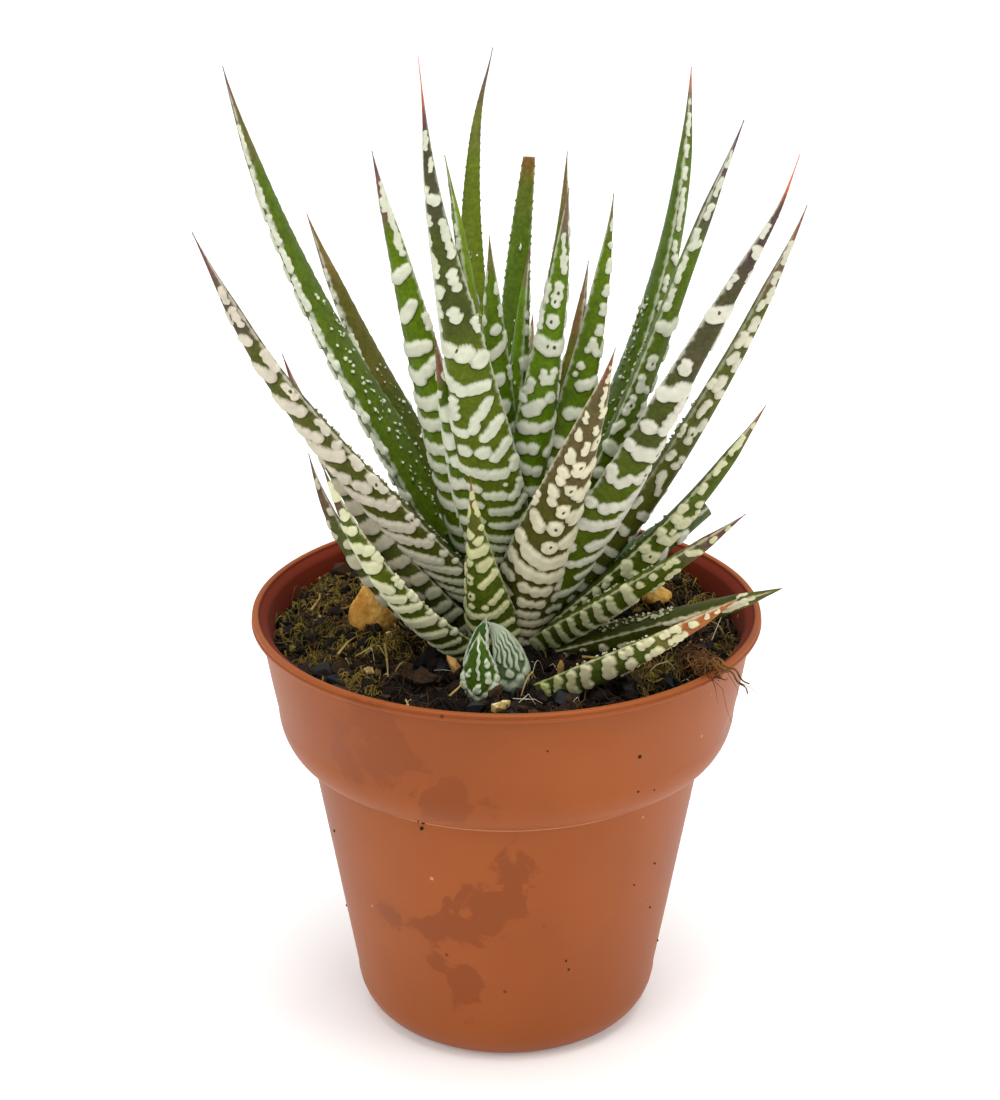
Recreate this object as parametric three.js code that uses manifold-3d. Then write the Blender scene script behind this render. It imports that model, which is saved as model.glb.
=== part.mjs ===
// A haworthia (zebra plant) in its small round nursery pot. Millimetres, +Z up,
// origin at the centre of the pot's underside, -Y towards the viewer.

import * as THREE from "three";
import { mergeVertices } from "three/addons/utils/BufferGeometryUtils.js";
import Module from "manifold-3d";

const wasm = await Module();
wasm.setup();

// ---------- driving dimensions ----------

const CLEARANCE = 0.3; // left between touching pieces

// pot: injection-moulded, 55 mm across the lip
const POT_HEIGHT = 47.4;
const LIP_RADIUS = 27.5;
const LIP_HEIGHT = 1.0;
const COLLAR_TOP_RADIUS = 26.6; // just under the lip
const COLLAR_LOW = { radius: 24.9, height: 37 };
const STEP = { radius: 21.5, height: 31.8 }; // where the collar rounds in to the body
const BASE_RADIUS = 16.8; // of the body, just above the rounded bottom edge
const FOOT_RADIUS = 13.2; // flat part of the underside
const CORNER_HEIGHT = 5; // of the rounded bottom edge
const WALL = 0.9;
const FLOOR_TOP = 2.0;
const CHANNEL = { inner: 5.6, outer: 10.4, depth: 0.8 }; // ring under the floor, with the drain holes
const DRAIN = { count: 6, radius: 2.0, ring: 8.0 };
const NOTCH = { count: 4, width: 3.0 }; // lets the water out from under the pot
const POT_SIDES = 36;

// soil
const SOIL_TOP = 43.7;
const SOIL_RINGS = [21, 17.5, 14, 10.5, 7, 3.5];
const SOIL_SIDES = 32;
const SOIL_MOUNDS = [
  { x: -13, y: 17, height: 1.5, reach: 6 },
  { x: 15, y: 15, height: 1.4, reach: 6 },
  { x: -20, y: -4, height: -1.2, reach: 4 },
  { x: 17, y: -12, height: 0.6, reach: 5 },
  { x: -6, y: -19, height: -0.5, reach: 5 },
];
const CRUMB = 0.45; // height of the soil's lumps

// rosette: every leaf starts on a short stem
const CROWN = new THREE.Vector2(0, 0.5); // where the stem stands
const STEM = { bottom: 33, top: 56, lowRadius: 2.4, topRadius: 1.6 };

// leaf form
const TIP_TAPER = 0.8; // power with which most leaves widen from their tip
const FOOT_CLASP = 0.18; // share of its width that a leaf loses towards its foot
const LEAST_HALF = 0.3; // half the thickness of the thinnest leaf section
const BAND_PITCH = 3.8; // from one white band to the next, along the leaf
const BAND_RISE = 0.42; // height of a band over the leaf's skin
const EDGE_TOOTH = 0.2; // how far a band stands out of the leaf's edge
const BANDED = [0.07, 0.87]; // stretch of the leaf, as a share of its length, that is banded
const SPINE_STEPS = 24;
const ENVELOPE_RINGS = 6;

// Leaves of the main rosette, from the youngest in the middle outwards. heading: compass
// direction in degrees from +X; lean: degrees from upright at the foot and at the tip;
// sweep: sideways turn of the heading along the leaf; foot: height where it leaves the stem,
// and out: how far from the stem's axis; width: at its broadest; cut: share left of a cut leaf.
const LEAVES = [
  { heading: 30, lean: [1, 6], length: 30, foot: 57, out: 0.9, width: 5 },
  { heading: 160, lean: [2, 11], length: 40, foot: 56, out: 1.9, width: 4.8 },
  { heading: 256, lean: [11, 7], length: 34, foot: 57, out: 2, width: 5.8 },
  { heading: 55, lean: [10, 12], length: 42, foot: 54, width: 5.6 },
  { heading: 335, lean: [21, 4], length: 41.5, foot: 53.5, width: 6.8, taper: 1 },
  { heading: 302, lean: [12, 17], length: 43.5, foot: 54.5, width: 6.8 },
  { heading: 26, lean: [18, 7], length: 32, foot: 53.5, width: 5.2 },
  { heading: 88, lean: [19, 26], length: 54, sweep: -11, foot: 52, width: 5.6, taper: 0.9, cut: 0.8 },
  { heading: 209, lean: [19, 9], length: 49, foot: 51.5, out: 2.9, width: 7.2 },
  { heading: 254, lean: [23, 22], length: 63, sweep: -4, foot: 53.5, width: 8.4, taper: 1 },
  { heading: 106, lean: [34, 31], length: 57, sweep: -26, foot: 52, width: 5.6, taper: 0.9 },
  { heading: 237, lean: [27, 12], length: 32.5, foot: 51.3, width: 5.8 },
  { heading: 150, lean: [39, 22], length: 42.5, foot: 50.5, width: 7.5 },
  { heading: 168, lean: [40, 13], length: 60.5, foot: 50.5, width: 8.2 },
  { heading: 58, lean: [50, 36], length: 24, foot: 50, width: 6.5 },
  { heading: 120, lean: [50, 38], length: 26, foot: 49.5, width: 6.8 },
  { heading: 12, lean: [31, 2], length: 60, foot: 48.3, width: 8.2 },
  { heading: 206, lean: [45, 24], length: 55.5, foot: 47.2, width: 7.9 },
  { heading: 84, lean: [54, 42], length: 36, foot: 47, width: 7.4 },
  { heading: 350, lean: [27, 16], length: 59, foot: 46.5, width: 7.2 },
  { heading: 322, lean: [35, 24], length: 64.5, foot: 45.2, width: 8.3 },
  { heading: 342, lean: [43, 17], length: 57.5, foot: 44.8, width: 7.2 },
  { heading: 294, lean: [26, 30], length: 43, sweep: 3, foot: 44.2, width: 9.4 },
  { heading: 254, lean: [35, 11], length: 27, foot: 42.5, out: 3, width: 8, taper: 1.1 },
  { heading: 199, lean: [47, 17], length: 41, foot: 44, width: 6.6 },
  { heading: 228, lean: [58, 22], length: 39.5, sweep: 2, foot: 41.5, width: 6 },
  { heading: 205, lean: [62, 12], length: 34, sweep: 1, foot: 42, width: 5 },
  { heading: 339, lean: [51, 29], length: 40, foot: 43, width: 7.2 },
  { heading: 325, lean: [57, 47], length: 34, sweep: -1, foot: 43, width: 6.4 },
  { heading: 342, lean: [70, 64], length: 30, foot: 41.5, width: 7, taper: 0.65 },
  { heading: 17, lean: [67, 53], length: 37, sweep: -2, foot: 44, width: 7.6, cut: 0.6 },
  { heading: 52, lean: [78, 70], length: 29, foot: 43.5, width: 7.2 },
  { heading: 70, lean: [71, 58], length: 36, foot: 43, width: 7.4 },
  { heading: 100, lean: [74, 62], length: 35, foot: 43, width: 7.2 },
  { heading: 130, lean: [72, 60], length: 36, foot: 43.5, width: 7.4 },
].map((leaf, i) => ({ name: `leaf_${String(i + 1).padStart(2, "0")}`, ...leaf }));

// A young shoot from the roots, in front of the rosette: at is where each leaf comes up.
const SHOOT = [
  { at: [-3, -12.1], heading: 205, lean: [8, -22], length: 8.4, foot: 43, width: 5.8, clasp: 0.3 },
  { at: [0.4, -12.2], heading: 318, lean: [26, -76], length: 8.8, foot: 43, width: 6.4, clasp: 0.4 },
  { at: [-2.8, -14.6], heading: 265, lean: [16, -12], length: 7.8, foot: 43.2, width: 5.2, clasp: 0.5 },
  { at: [4.2, -13.6], heading: 340, lean: [61, 51], length: 24, foot: 44, width: 6 },
].map((leaf, i) => ({ name: `shoot_leaf_${i + 1}`, ...leaf }));

// grains of fired clay lying on the soil
const GRAINS = [
  { name: "clay_grain_1", at: [-14.7, 2.6, 45.7], size: [2.4, 2, 3], turn: 0.4 },
  { name: "clay_grain_2", at: [16.6, 8.2, 45.4], size: [1.8, 1.5, 1.3], turn: 1.1 },
];

// ---------- materials ----------

function plainMaterial(color, roughness) {
  return new THREE.MeshStandardMaterial({ color, roughness, metalness: 0 });
}

const TERRACOTTA_PLASTIC = plainMaterial("#b0633a", 0.42);
const PEAT = plainMaterial("#2e2216", 0.95);
const LEAF_SKIN = plainMaterial("#56702f", 0.45);
const STEM_SKIN = plainMaterial("#6f6a45", 0.7);
const FIRED_CLAY = plainMaterial("#c98c35", 0.9);

// ---------- joining and cutting ----------

/** A closed geometry as a solid that can be joined and cut. */
function toSolid(geometry) {
  const bare = geometry.clone();
  bare.deleteAttribute("normal");
  bare.deleteAttribute("uv");
  const merged = mergeVertices(bare, 1e-4);
  return new wasm.Manifold(
    new wasm.Mesh({
      numProp: 3,
      vertProperties: merged.attributes.position.array,
      triVerts: new Uint32Array(merged.index.array),
    }),
  );
}

/** The named mesh of a solid; of a solid that fell apart, its largest body. */
function toMesh(name, solid, material) {
  const bodies = solid.decompose();
  bodies.sort((a, b) => b.volume() - a.volume());
  const { vertProperties, triVerts } = bodies[0].getMesh();
  const geometry = new THREE.BufferGeometry();
  geometry.setAttribute("position", new THREE.BufferAttribute(vertProperties, 3));
  geometry.setIndex(new THREE.BufferAttribute(triVerts, 1));
  geometry.computeVertexNormals();
  const mesh = new THREE.Mesh(geometry, material);
  mesh.name = name;
  return mesh;
}

/** A lathe around +Z: three.js turns its profile around +Y. */
function turned(profile, sides) {
  return new THREE.LatheGeometry(profile, sides).rotateX(Math.PI / 2);
}

// ---------- pot ----------

/** Points of a quarter of an ellipse, from straight below its centre to straight beside it. */
function roundedCorner(centre, reach, rise, steps) {
  const points = [];
  for (let i = 0; i <= steps; i++) {
    const t = ((i / steps) * Math.PI) / 2;
    points.push(new THREE.Vector2(centre.x + reach * Math.sin(t), centre.y - rise * Math.cos(t)));
  }
  return points;
}

/** Outside of the wall from the flat underside to just under the lip; inset gives its inside. */
function wallProfile(inset) {
  const bottom = new THREE.Vector2(FOOT_RADIUS - inset, CORNER_HEIGHT);
  const low = inset > 0 ? CORNER_HEIGHT - FLOOR_TOP : CORNER_HEIGHT;
  const collar = new THREE.Vector2(STEP.radius - inset, COLLAR_LOW.height + inset);
  return [
    ...roundedCorner(bottom, BASE_RADIUS - FOOT_RADIUS, low, 3),
    new THREE.Vector2(STEP.radius - inset, STEP.height + inset - 0.1),
    ...roundedCorner(collar, COLLAR_LOW.radius - STEP.radius, COLLAR_LOW.height - STEP.height, 4),
    new THREE.Vector2(COLLAR_TOP_RADIUS - inset, POT_HEIGHT - LIP_HEIGHT),
  ];
}

function pot() {
  const { inner, outer, depth } = CHANNEL;
  const slope = 0.6;
  const profile = [
    new THREE.Vector2(0, 0),
    new THREE.Vector2(inner - slope, 0),
    new THREE.Vector2(inner, depth),
    new THREE.Vector2(outer, depth),
    new THREE.Vector2(outer + slope, 0),
    ...wallProfile(0),
    new THREE.Vector2(LIP_RADIUS, POT_HEIGHT - LIP_HEIGHT + 0.15),
    new THREE.Vector2(LIP_RADIUS, POT_HEIGHT - 0.2),
    new THREE.Vector2(LIP_RADIUS - 0.25, POT_HEIGHT),
    new THREE.Vector2(LIP_RADIUS - WALL, POT_HEIGHT),
    ...wallProfile(WALL).reverse(),
    new THREE.Vector2(0, FLOOR_TOP),
  ];
  let solid = toSolid(turned(profile, POT_SIDES));
  for (let i = 0; i < DRAIN.count; i++) {
    const angle = (i / DRAIN.count) * 2 * Math.PI;
    const hole = new THREE.CylinderGeometry(DRAIN.radius, DRAIN.radius, 4 * FLOOR_TOP, 12);
    hole.rotateX(Math.PI / 2);
    hole.translate(DRAIN.ring * Math.cos(angle), DRAIN.ring * Math.sin(angle), 0);
    solid = solid.subtract(toSolid(hole));
  }
  for (let i = 0; i < NOTCH.count; i++) {
    const length = FOOT_RADIUS + 4 - outer;
    const notch = new THREE.BoxGeometry(length, NOTCH.width, 2 * depth);
    notch.translate(outer + length / 2, 0, 0);
    notch.rotateZ(((i + 0.5) / NOTCH.count) * 2 * Math.PI);
    solid = solid.subtract(toSolid(notch));
  }
  return solid;
}

// ---------- leaves ----------

/** Direction of a leaf's centre line at s, from 0 at its foot to 1 at its tip. */
function leafDirection(leaf, s) {
  const heading = THREE.MathUtils.degToRad(leaf.heading + (leaf.sweep ?? 0) * s);
  const lean = THREE.MathUtils.degToRad(THREE.MathUtils.lerp(leaf.lean[0], leaf.lean[1], s));
  return {
    along: new THREE.Vector3(
      Math.sin(lean) * Math.cos(heading),
      Math.sin(lean) * Math.sin(heading),
      Math.cos(lean),
    ),
    across: new THREE.Vector3(-Math.sin(heading), Math.cos(heading), 0),
    outward: new THREE.Vector3(
      Math.cos(lean) * Math.cos(heading),
      Math.cos(lean) * Math.sin(heading),
      -Math.sin(lean),
    ),
  };
}

function leafFoot(leaf) {
  if (leaf.at) return new THREE.Vector3(leaf.at[0], leaf.at[1], leaf.foot);
  const heading = THREE.MathUtils.degToRad(leaf.heading);
  const out = leaf.out ?? 2.6;
  return new THREE.Vector3(
    CROWN.x + out * Math.cos(heading),
    CROWN.y + out * Math.sin(heading),
    leaf.foot,
  );
}

/** Centre line of a leaf: an arc that starts on the stem and leans outwards. */
function leafSpine(leaf) {
  const points = [leafFoot(leaf)];
  for (let i = 0; i < SPINE_STEPS; i++) {
    const { along } = leafDirection(leaf, (i + 0.5) / SPINE_STEPS);
    points.push(points[i].clone().addScaledVector(along, leaf.length / SPINE_STEPS));
  }
  return new THREE.CatmullRomCurve3(points);
}

/** Half the width, the depth of the keeled outer side and its roundness at s. */
function leafSection(leaf, s) {
  const fromTip = 1 - s;
  const clasp = 1 - (leaf.clasp ?? FOOT_CLASP) * THREE.MathUtils.smoothstep(fromTip, 0.7, 1);
  const half = Math.max(0.5 * leaf.width * fromTip ** (leaf.taper ?? TIP_TAPER) * clasp, LEAST_HALF);
  const depth = Math.max(2 * half * THREE.MathUtils.lerp(0.36, 0.5, s), 1.4 * LEAST_HALF);
  return { half, depth, roundness: THREE.MathUtils.lerp(2.3, 1.3, s) };
}

// The six corners of a leaf's section: the keel, the outer side, an edge, the inner side,
// and so on round. side: share of the half width, face: 1 on the outer side, -1 on the inner.
const CORNERS = [
  { side: 0, face: 1 },
  { side: 0.6, face: 1 },
  { side: 1, face: 0 },
  { side: 0, face: -1 },
  { side: -1, face: 0 },
  { side: -0.6, face: 1 },
];
const INNER_CROWN = 0.16; // how far the inner side is arched, as a share of the depth
const MIDDLE = 0.42; // the centre line's place between the edges and the keel

/** The rings of a leaf: a trough and a crest for each white band, then the bare tip. */
function bandedStations(leaf) {
  const last = leaf.cut ?? 1;
  const end = Math.min(BANDED[1], last - 0.02);
  const bands = Math.max(2, Math.round(((end - BANDED[0]) * leaf.length) / BAND_PITCH));
  const stations = [{ s: 0, crest: 0 }];
  for (let i = 0; i < 2 * bands; i++) {
    const s = THREE.MathUtils.lerp(BANDED[0], end, i / (2 * bands - 1));
    stations.push({ s, crest: i % 2 });
  }
  if (last < 1) return [...stations, { s: last, crest: 0 }];
  return [...stations, { s: 0.945, crest: 0 }, { s: 0.985, crest: 0 }, { s: 1, crest: 0 }];
}

function smoothStations(leaf) {
  const stations = [];
  for (let i = 0; i <= ENVELOPE_RINGS; i++) {
    stations.push({ s: ((leaf.cut ?? 1) * i) / ENVELOPE_RINGS, crest: 0 });
  }
  return stations;
}

/** A six-sided cone or, for a cut leaf, cylinder, whose rings are moved onto the leaf. */
function leafGeometry(leaf, stations, grow) {
  const rings = stations.length - 1;
  const pointed = !leaf.cut;
  const blank = new THREE.CylinderGeometry(pointed ? 0 : 1, 1, 1, CORNERS.length, rings);
  const spine = leafSpine(leaf);
  const positions = blank.attributes.position;
  const corner = new THREE.Vector3();
  for (let i = 0; i < positions.count; i++) {
    corner.fromBufferAttribute(positions, i);
    const { s, crest } = stations[Math.round((corner.y + 0.5) * rings)];
    const isTip = pointed && s === 1;
    const isAxis = isTip || Math.hypot(corner.x, corner.z) < 1e-6;
    const turn = Math.round((Math.atan2(corner.x, corner.z) / (2 * Math.PI)) * CORNERS.length);
    const { side, face } = CORNERS[(turn + CORNERS.length) % CORNERS.length];
    const { half, depth, roundness } = leafSection(leaf, s);
    const rise = Math.min(1, half / 1.5) * crest;
    const bulge = depth * (1 - Math.abs(side) ** roundness) + BAND_RISE * rise;
    let across = side * (half + grow) + Math.sign(side) * EDGE_TOOTH * rise * (face === 0 ? 1 : 0);
    let outward = face === 1 ? bulge + grow : face === -1 ? -INNER_CROWN * depth - grow : 0;
    if (isAxis) {
      across = 0;
      outward = MIDDLE * depth;
    }
    outward -= MIDDLE * depth;
    const frame = leafDirection(leaf, s);
    corner.copy(spine.getPoint(s));
    corner.addScaledVector(frame.across, across).addScaledVector(frame.outward, outward);
    if (s === 0) corner.addScaledVector(frame.along, -grow);
    if (s === 1) corner.addScaledVector(frame.along, grow);
    positions.setXYZ(i, corner.x, corner.y, corner.z);
  }
  return blank;
}

const leafSolid = (leaf) => toSolid(leafGeometry(leaf, bandedStations(leaf), 0));

/** The room that a leaf takes up, with the clearance round it, which its neighbours keep out of. */
const leafRoom = (leaf) => toSolid(leafGeometry(leaf, smoothStations(leaf), CLEARANCE + BAND_RISE));

// ---------- stem ----------

function stemSolid(grow) {
  const low = STEM.lowRadius + grow;
  const profile = [
    new THREE.Vector2(0, STEM.bottom - grow),
    new THREE.Vector2(low, STEM.bottom - grow),
    new THREE.Vector2(low, SOIL_TOP),
    new THREE.Vector2(STEM.topRadius + grow, STEM.top + grow),
    new THREE.Vector2(0, STEM.top + grow),
  ];
  return toSolid(turned(profile, 12).translate(CROWN.x, CROWN.y, 0));
}

// ---------- soil ----------

/** Height of the soil's surface: broad mounds, with crumbs over them. */
function soilHeight(x, y) {
  let height = SOIL_TOP;
  for (const mound of SOIL_MOUNDS) {
    const away = Math.hypot(x - mound.x, y - mound.y) / mound.reach;
    height += mound.height * Math.exp(-away * away);
  }
  const lumps = Math.sin(1.9 * x + 0.7 * y) * Math.sin(2.1 * y - 0.9 * x + 1.3);
  return height + CRUMB * lumps + 0.5 * CRUMB * Math.sin(4.3 * x - 2.2 * y);
}

function soilSolid() {
  const wall = wallProfile(WALL + CLEARANCE).filter((point) => point.y < SOIL_TOP - 1);
  const collarSlope = (COLLAR_TOP_RADIUS - COLLAR_LOW.radius) / (POT_HEIGHT - LIP_HEIGHT - COLLAR_LOW.height);
  const rimRadius =
    COLLAR_LOW.radius + (SOIL_TOP - COLLAR_LOW.height) * collarSlope - WALL - CLEARANCE;
  const profile = [
    new THREE.Vector2(0, FLOOR_TOP + CLEARANCE),
    new THREE.Vector2(FOOT_RADIUS - WALL - CLEARANCE, FLOOR_TOP + CLEARANCE),
    ...wall.slice(1),
    new THREE.Vector2(rimRadius, SOIL_TOP),
    ...SOIL_RINGS.map((radius) => new THREE.Vector2(radius, SOIL_TOP)),
    new THREE.Vector2(0, SOIL_TOP),
  ];
  const blank = turned(profile, SOIL_SIDES);
  const positions = blank.attributes.position;
  for (let i = 0; i < positions.count; i++) {
    if (positions.getZ(i) < SOIL_TOP - 0.01) continue;
    positions.setZ(i, soilHeight(positions.getX(i), positions.getY(i)));
  }
  return toSolid(blank);
}

// ---------- clay grains ----------

function grainGeometry(grain, grow) {
  const blank = new THREE.IcosahedronGeometry(1, 1);
  const positions = blank.attributes.position;
  const point = new THREE.Vector3();
  for (let i = 0; i < positions.count; i++) {
    point.fromBufferAttribute(positions, i);
    const chip = 1 + 0.13 * Math.sin(7 * point.x + 3 * point.y) * Math.cos(5 * point.z - 2 * point.y);
    const narrowing = 1 - 0.34 * point.z;
    const [width, depth, height] = grain.size;
    point.set(
      point.x * (width * chip * narrowing + grow),
      point.y * (depth * chip * narrowing + grow),
      point.z * (height * chip + grow),
    );
    positions.setXYZ(i, point.x, point.y, point.z);
  }
  return blank.rotateZ(grain.turn).translate(...grain.at);
}

// ---------- the whole plant ----------

const plant = new THREE.Group();
plant.add(toMesh("pot", pot(), TERRACOTTA_PLASTIC));
plant.add(toMesh("stem", stemSolid(0), STEM_SKIN));

let soil = soilSolid().subtract(stemSolid(CLEARANCE));

// Inner leaves keep their full form, and each further one is cut back where it clasps them.
let taken = stemSolid(CLEARANCE);
for (const leaf of [...LEAVES, ...SHOOT]) {
  plant.add(toMesh(leaf.name, leafSolid(leaf).subtract(taken), LEAF_SKIN));
  const room = leafRoom(leaf);
  taken = taken.add(room);
  soil = soil.subtract(room);
}

for (const grain of GRAINS) {
  plant.add(toMesh(grain.name, toSolid(grainGeometry(grain, 0)).subtract(taken), FIRED_CLAY));
  soil = soil.subtract(toSolid(grainGeometry(grain, CLEARANCE)));
}
plant.add(toMesh("potting_soil", soil, PEAT));

export default plant;
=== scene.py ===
import math
import random

import bmesh
import bpy
import numpy as np
from mathutils import Matrix, Vector, noise


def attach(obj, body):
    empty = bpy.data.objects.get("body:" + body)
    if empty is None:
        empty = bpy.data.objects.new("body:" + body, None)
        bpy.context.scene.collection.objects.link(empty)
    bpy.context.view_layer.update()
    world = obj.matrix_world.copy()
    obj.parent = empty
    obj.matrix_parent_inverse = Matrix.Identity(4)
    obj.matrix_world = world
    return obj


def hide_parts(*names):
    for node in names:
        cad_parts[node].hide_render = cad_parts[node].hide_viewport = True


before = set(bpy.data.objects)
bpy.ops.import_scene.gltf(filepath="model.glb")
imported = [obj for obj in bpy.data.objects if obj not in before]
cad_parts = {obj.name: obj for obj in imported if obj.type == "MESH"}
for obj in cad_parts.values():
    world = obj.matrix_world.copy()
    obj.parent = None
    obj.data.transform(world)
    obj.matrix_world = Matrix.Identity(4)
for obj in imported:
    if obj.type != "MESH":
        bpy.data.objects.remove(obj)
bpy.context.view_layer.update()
scene = bpy.context.scene

# ---------- camera ----------
# A long lens 30 cm away, looking 22 degrees down at the plant, upright and without tilt.

SENSOR_HEIGHT = 24.0
FOCAL_PIXELS = 2800
FRAME_ROWS = 1100
LOOK_DOWN = 22.2

camera = bpy.data.objects.new("camera", bpy.data.cameras.new("camera"))
camera.data.sensor_fit = "VERTICAL"
camera.data.sensor_height = SENSOR_HEIGHT
camera.data.lens = SENSOR_HEIGHT * FOCAL_PIXELS / FRAME_ROWS
camera.location = (-0.0007, -0.2778, 0.1673)
camera.rotation_euler = (math.radians(90 - LOOK_DOWN), 0, 0)
camera.data.clip_start = 0.01
camera.data.clip_end = 20
scene.collection.objects.link(camera)
scene.camera = camera

# ---------- studio ----------
# White paper on the table, a large soft box from the left front, a wide one overhead
# and a weak one from the right, in a bright white room.

scene.view_settings.view_transform = "Standard"


def linear(code):
    """A hex colour of a screen as the linear values that a shader takes."""
    parts = [int(code[i : i + 2], 16) / 255 for i in (1, 3, 5)]
    return [c / 12.92 if c <= 0.04045 else ((c + 0.055) / 1.055) ** 2.4 for c in parts] + [1.0]


def feed(material, node, inputs):
    """Sets inputs of a node, each to a value or to the socket that feeds it."""
    for name, value in inputs.items():
        if isinstance(value, bpy.types.NodeSocket):
            material.node_tree.links.new(value, node.inputs[name])
        else:
            node.inputs[name].default_value = value


def add_node(material, kind, inputs, out=0, **settings):
    """Adds a shader node with its settings and inputs, and gives the output asked for."""
    node = material.node_tree.nodes.new("ShaderNode" + kind)
    for name, value in settings.items():
        setattr(node, name, value)
    feed(material, node, inputs)
    return node.outputs[out]


def new_material(name):
    """A new material and its shader."""
    material = bpy.data.materials.new(name)
    material.use_nodes = True
    return material, material.node_tree.nodes["Principled BSDF"]


paper, paper_shader = new_material("matt_white_paper")
feed(paper, paper_shader, {
    "Base Color": linear("#f4f3f1"), "Roughness": 0.9,
    "Emission Color": linear("#ffffff"), "Emission Strength": 0.14,
})  # fmt: skip

sheet = bmesh.new()
bmesh.ops.create_grid(sheet, x_segments=1, y_segments=1, size=2)
table = bpy.data.objects.new("paper_floor", bpy.data.meshes.new("paper_floor"))
sheet.to_mesh(table.data)
sheet.free()
table.data.materials.append(paper)
scene.collection.objects.link(table)


def soft_box(name, place, aim, size, watts, colour):
    """A square soft light that shines from its place towards its aim, in metres."""
    light = bpy.data.objects.new(name, bpy.data.lights.new(name, "AREA"))
    light.data.shape = "SQUARE"
    light.data.size = size
    light.data.energy = watts
    light.data.color = linear(colour)[:3]
    light.location = place
    light.rotation_euler = (Vector(aim) - Vector(place)).to_track_quat("-Z", "Y").to_euler()
    scene.collection.objects.link(light)


soft_box("left_soft_box", (-0.5, -0.55, 0.6), (0, 0, 0.06), 0.45, 2.2, "#fffaf2")
soft_box("overhead_soft_box", (0.05, -0.05, 0.9), (0, 0, 0.06), 0.7, 6.5, "#ffffff")
soft_box("right_soft_box", (0.7, -0.3, 0.4), (0, 0, 0.05), 0.4, 1.8, "#fff6ea")

room = bpy.data.worlds.new("white_room")
room.use_nodes = True
room.node_tree.nodes["Background"].inputs["Color"].default_value = linear("#f2f5fa")
room.node_tree.nodes["Background"].inputs["Strength"].default_value = 0.72
scene.world = room

# ---------- pot ----------
# Round nursery pot, injection-moulded polypropylene of terracotta brown: a thin rolled lip,
# a collar that rounds in to a straight cone, a rounded bottom edge, and under the floor a
# shallow ring channel with six drain holes and four notches.

MM = 0.001  # all sizes below are in millimetres
WALL = 0.9
FLOOR = 2.0
STEP = 31.5  # height of the sharp line under the collar
LIP_TOP = 47.4


def quarter(centre, reach, rise, steps):
    """Points of a quarter ellipse, from straight below its centre to straight beside it."""
    turns = [math.pi / 2 * i / steps for i in range(steps + 1)]
    return [(centre[0] + reach * math.sin(t), centre[1] - rise * math.cos(t)) for t in turns]


def wall_line(inset):
    """The wall's outside, or its inside, from the underside up to the lip."""
    low = 5 - FLOOR if inset else 5
    return [
        *quarter((13.2 - inset, 5), 3.6, low, 8),
        (18.4 - inset, 14.1),
        (20.1 - inset, 23.8),
        (21.42 - inset, 31.3 + inset),
        *([] if inset else [(21.58, 31.42), (21.6, STEP), (21.5, 31.6)]),
        *quarter((21.5 - inset, 37 + inset), 3.4, 5.2, 12),
        (25.5 - inset, 40 + inset / 2),
        (26.1 - inset, 43.5),
        (26.6 - inset, 46.35),
    ]


pot_line = [
    (0, 0), (5.0, 0), (5.6, 0.8), (10.4, 0.8), (11.0, 0),
    *wall_line(0),
    (27.2, 46.42), (27.42, 46.48), (27.5, 46.62), (27.48, 46.8), (27.36, 46.88), (27.36, 47.04),
    (27.44, 47.14), (27.4, 47.28), (27.26, 47.38), (27.0, LIP_TOP), (26.82, 47.36), (26.68, 47.24),
    (26.6, 47.05), (26.3, 46.85), (25.86, 46.6),
    *reversed(wall_line(WALL)),
    (0, FLOOR),
]  # fmt: skip


def turned(line, steps):
    """A line of (radius, height) in millimetres, turned round the pot's axis to a closed shell."""
    shell = bmesh.new()
    points = [shell.verts.new((radius * MM, 0, height * MM)) for radius, height in line]
    for low, high in zip(points, points[1:]):
        shell.edges.new((low, high))
    bmesh.ops.spin(
        shell, geom=shell.verts[:] + shell.edges[:], cent=(0, 0, 0), axis=(0, 0, 1),
        angle=2 * math.pi, steps=steps, use_merge=True,
    )  # fmt: skip
    bmesh.ops.remove_doubles(shell, verts=shell.verts, dist=1e-6)
    bmesh.ops.recalc_face_normals(shell, faces=shell.faces)
    return shell


def new_piece(name, shape, material):
    """A piece of the object from a bmesh, smooth except at its sharp edges."""
    piece = bpy.data.objects.new(name, bpy.data.meshes.new(name))
    shape.to_mesh(piece.data)
    shape.free()
    piece.data.materials.append(material)
    piece.data.shade_smooth()
    scene.collection.objects.link(piece)
    return piece


def cut_away(piece, cutter):
    """Takes the cutter's space out of the piece."""
    tool = bpy.data.objects.new("cutter", bpy.data.meshes.new("cutter"))
    cutter.to_mesh(tool.data)
    cutter.free()
    scene.collection.objects.link(tool)
    cut = piece.modifiers.new("cut", "BOOLEAN")
    cut.object = tool
    cut.operation = "DIFFERENCE"
    cut.solver = "EXACT"
    cut_mesh = bpy.data.meshes.new_from_object(piece.evaluated_get(bpy.context.evaluated_depsgraph_get()))
    piece.modifiers.clear()
    piece.data = cut_mesh
    bpy.data.objects.remove(tool)


# where the pot's film of dust is wiped off: centre of each patch, and its reach across and up
WIPED = [
    ((-13.4, -22.4, 42.5), (3.4, 5.2)), ((-16, -20.6, 38), (2.4, 2.4)), ((-6.2, -24.4, 35.6), (3.8, 2.8)),
    ((0.9, -20.4, 25.6), (2.0, 2.8)), ((-1.5, -20, 21.8), (4.6, 2.0)), ((-4.6, -19, 17.8), (5.8, 2.2)),
    ((-4.6, -17.2, 10), (1.5, 3.0)), ((-7.6, -16.9, 13.6), (1.3, 1.8)), ((-12.5, -14.4, 17), (1.4, 2.0)),
    ((20, 14, 38), (3, 2)), ((-9, 17, 20), (3, 4)), ((24, -9, 36), (1.5, 2.4)),
]  # fmt: skip
FAR_OFF = 9.0

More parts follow.
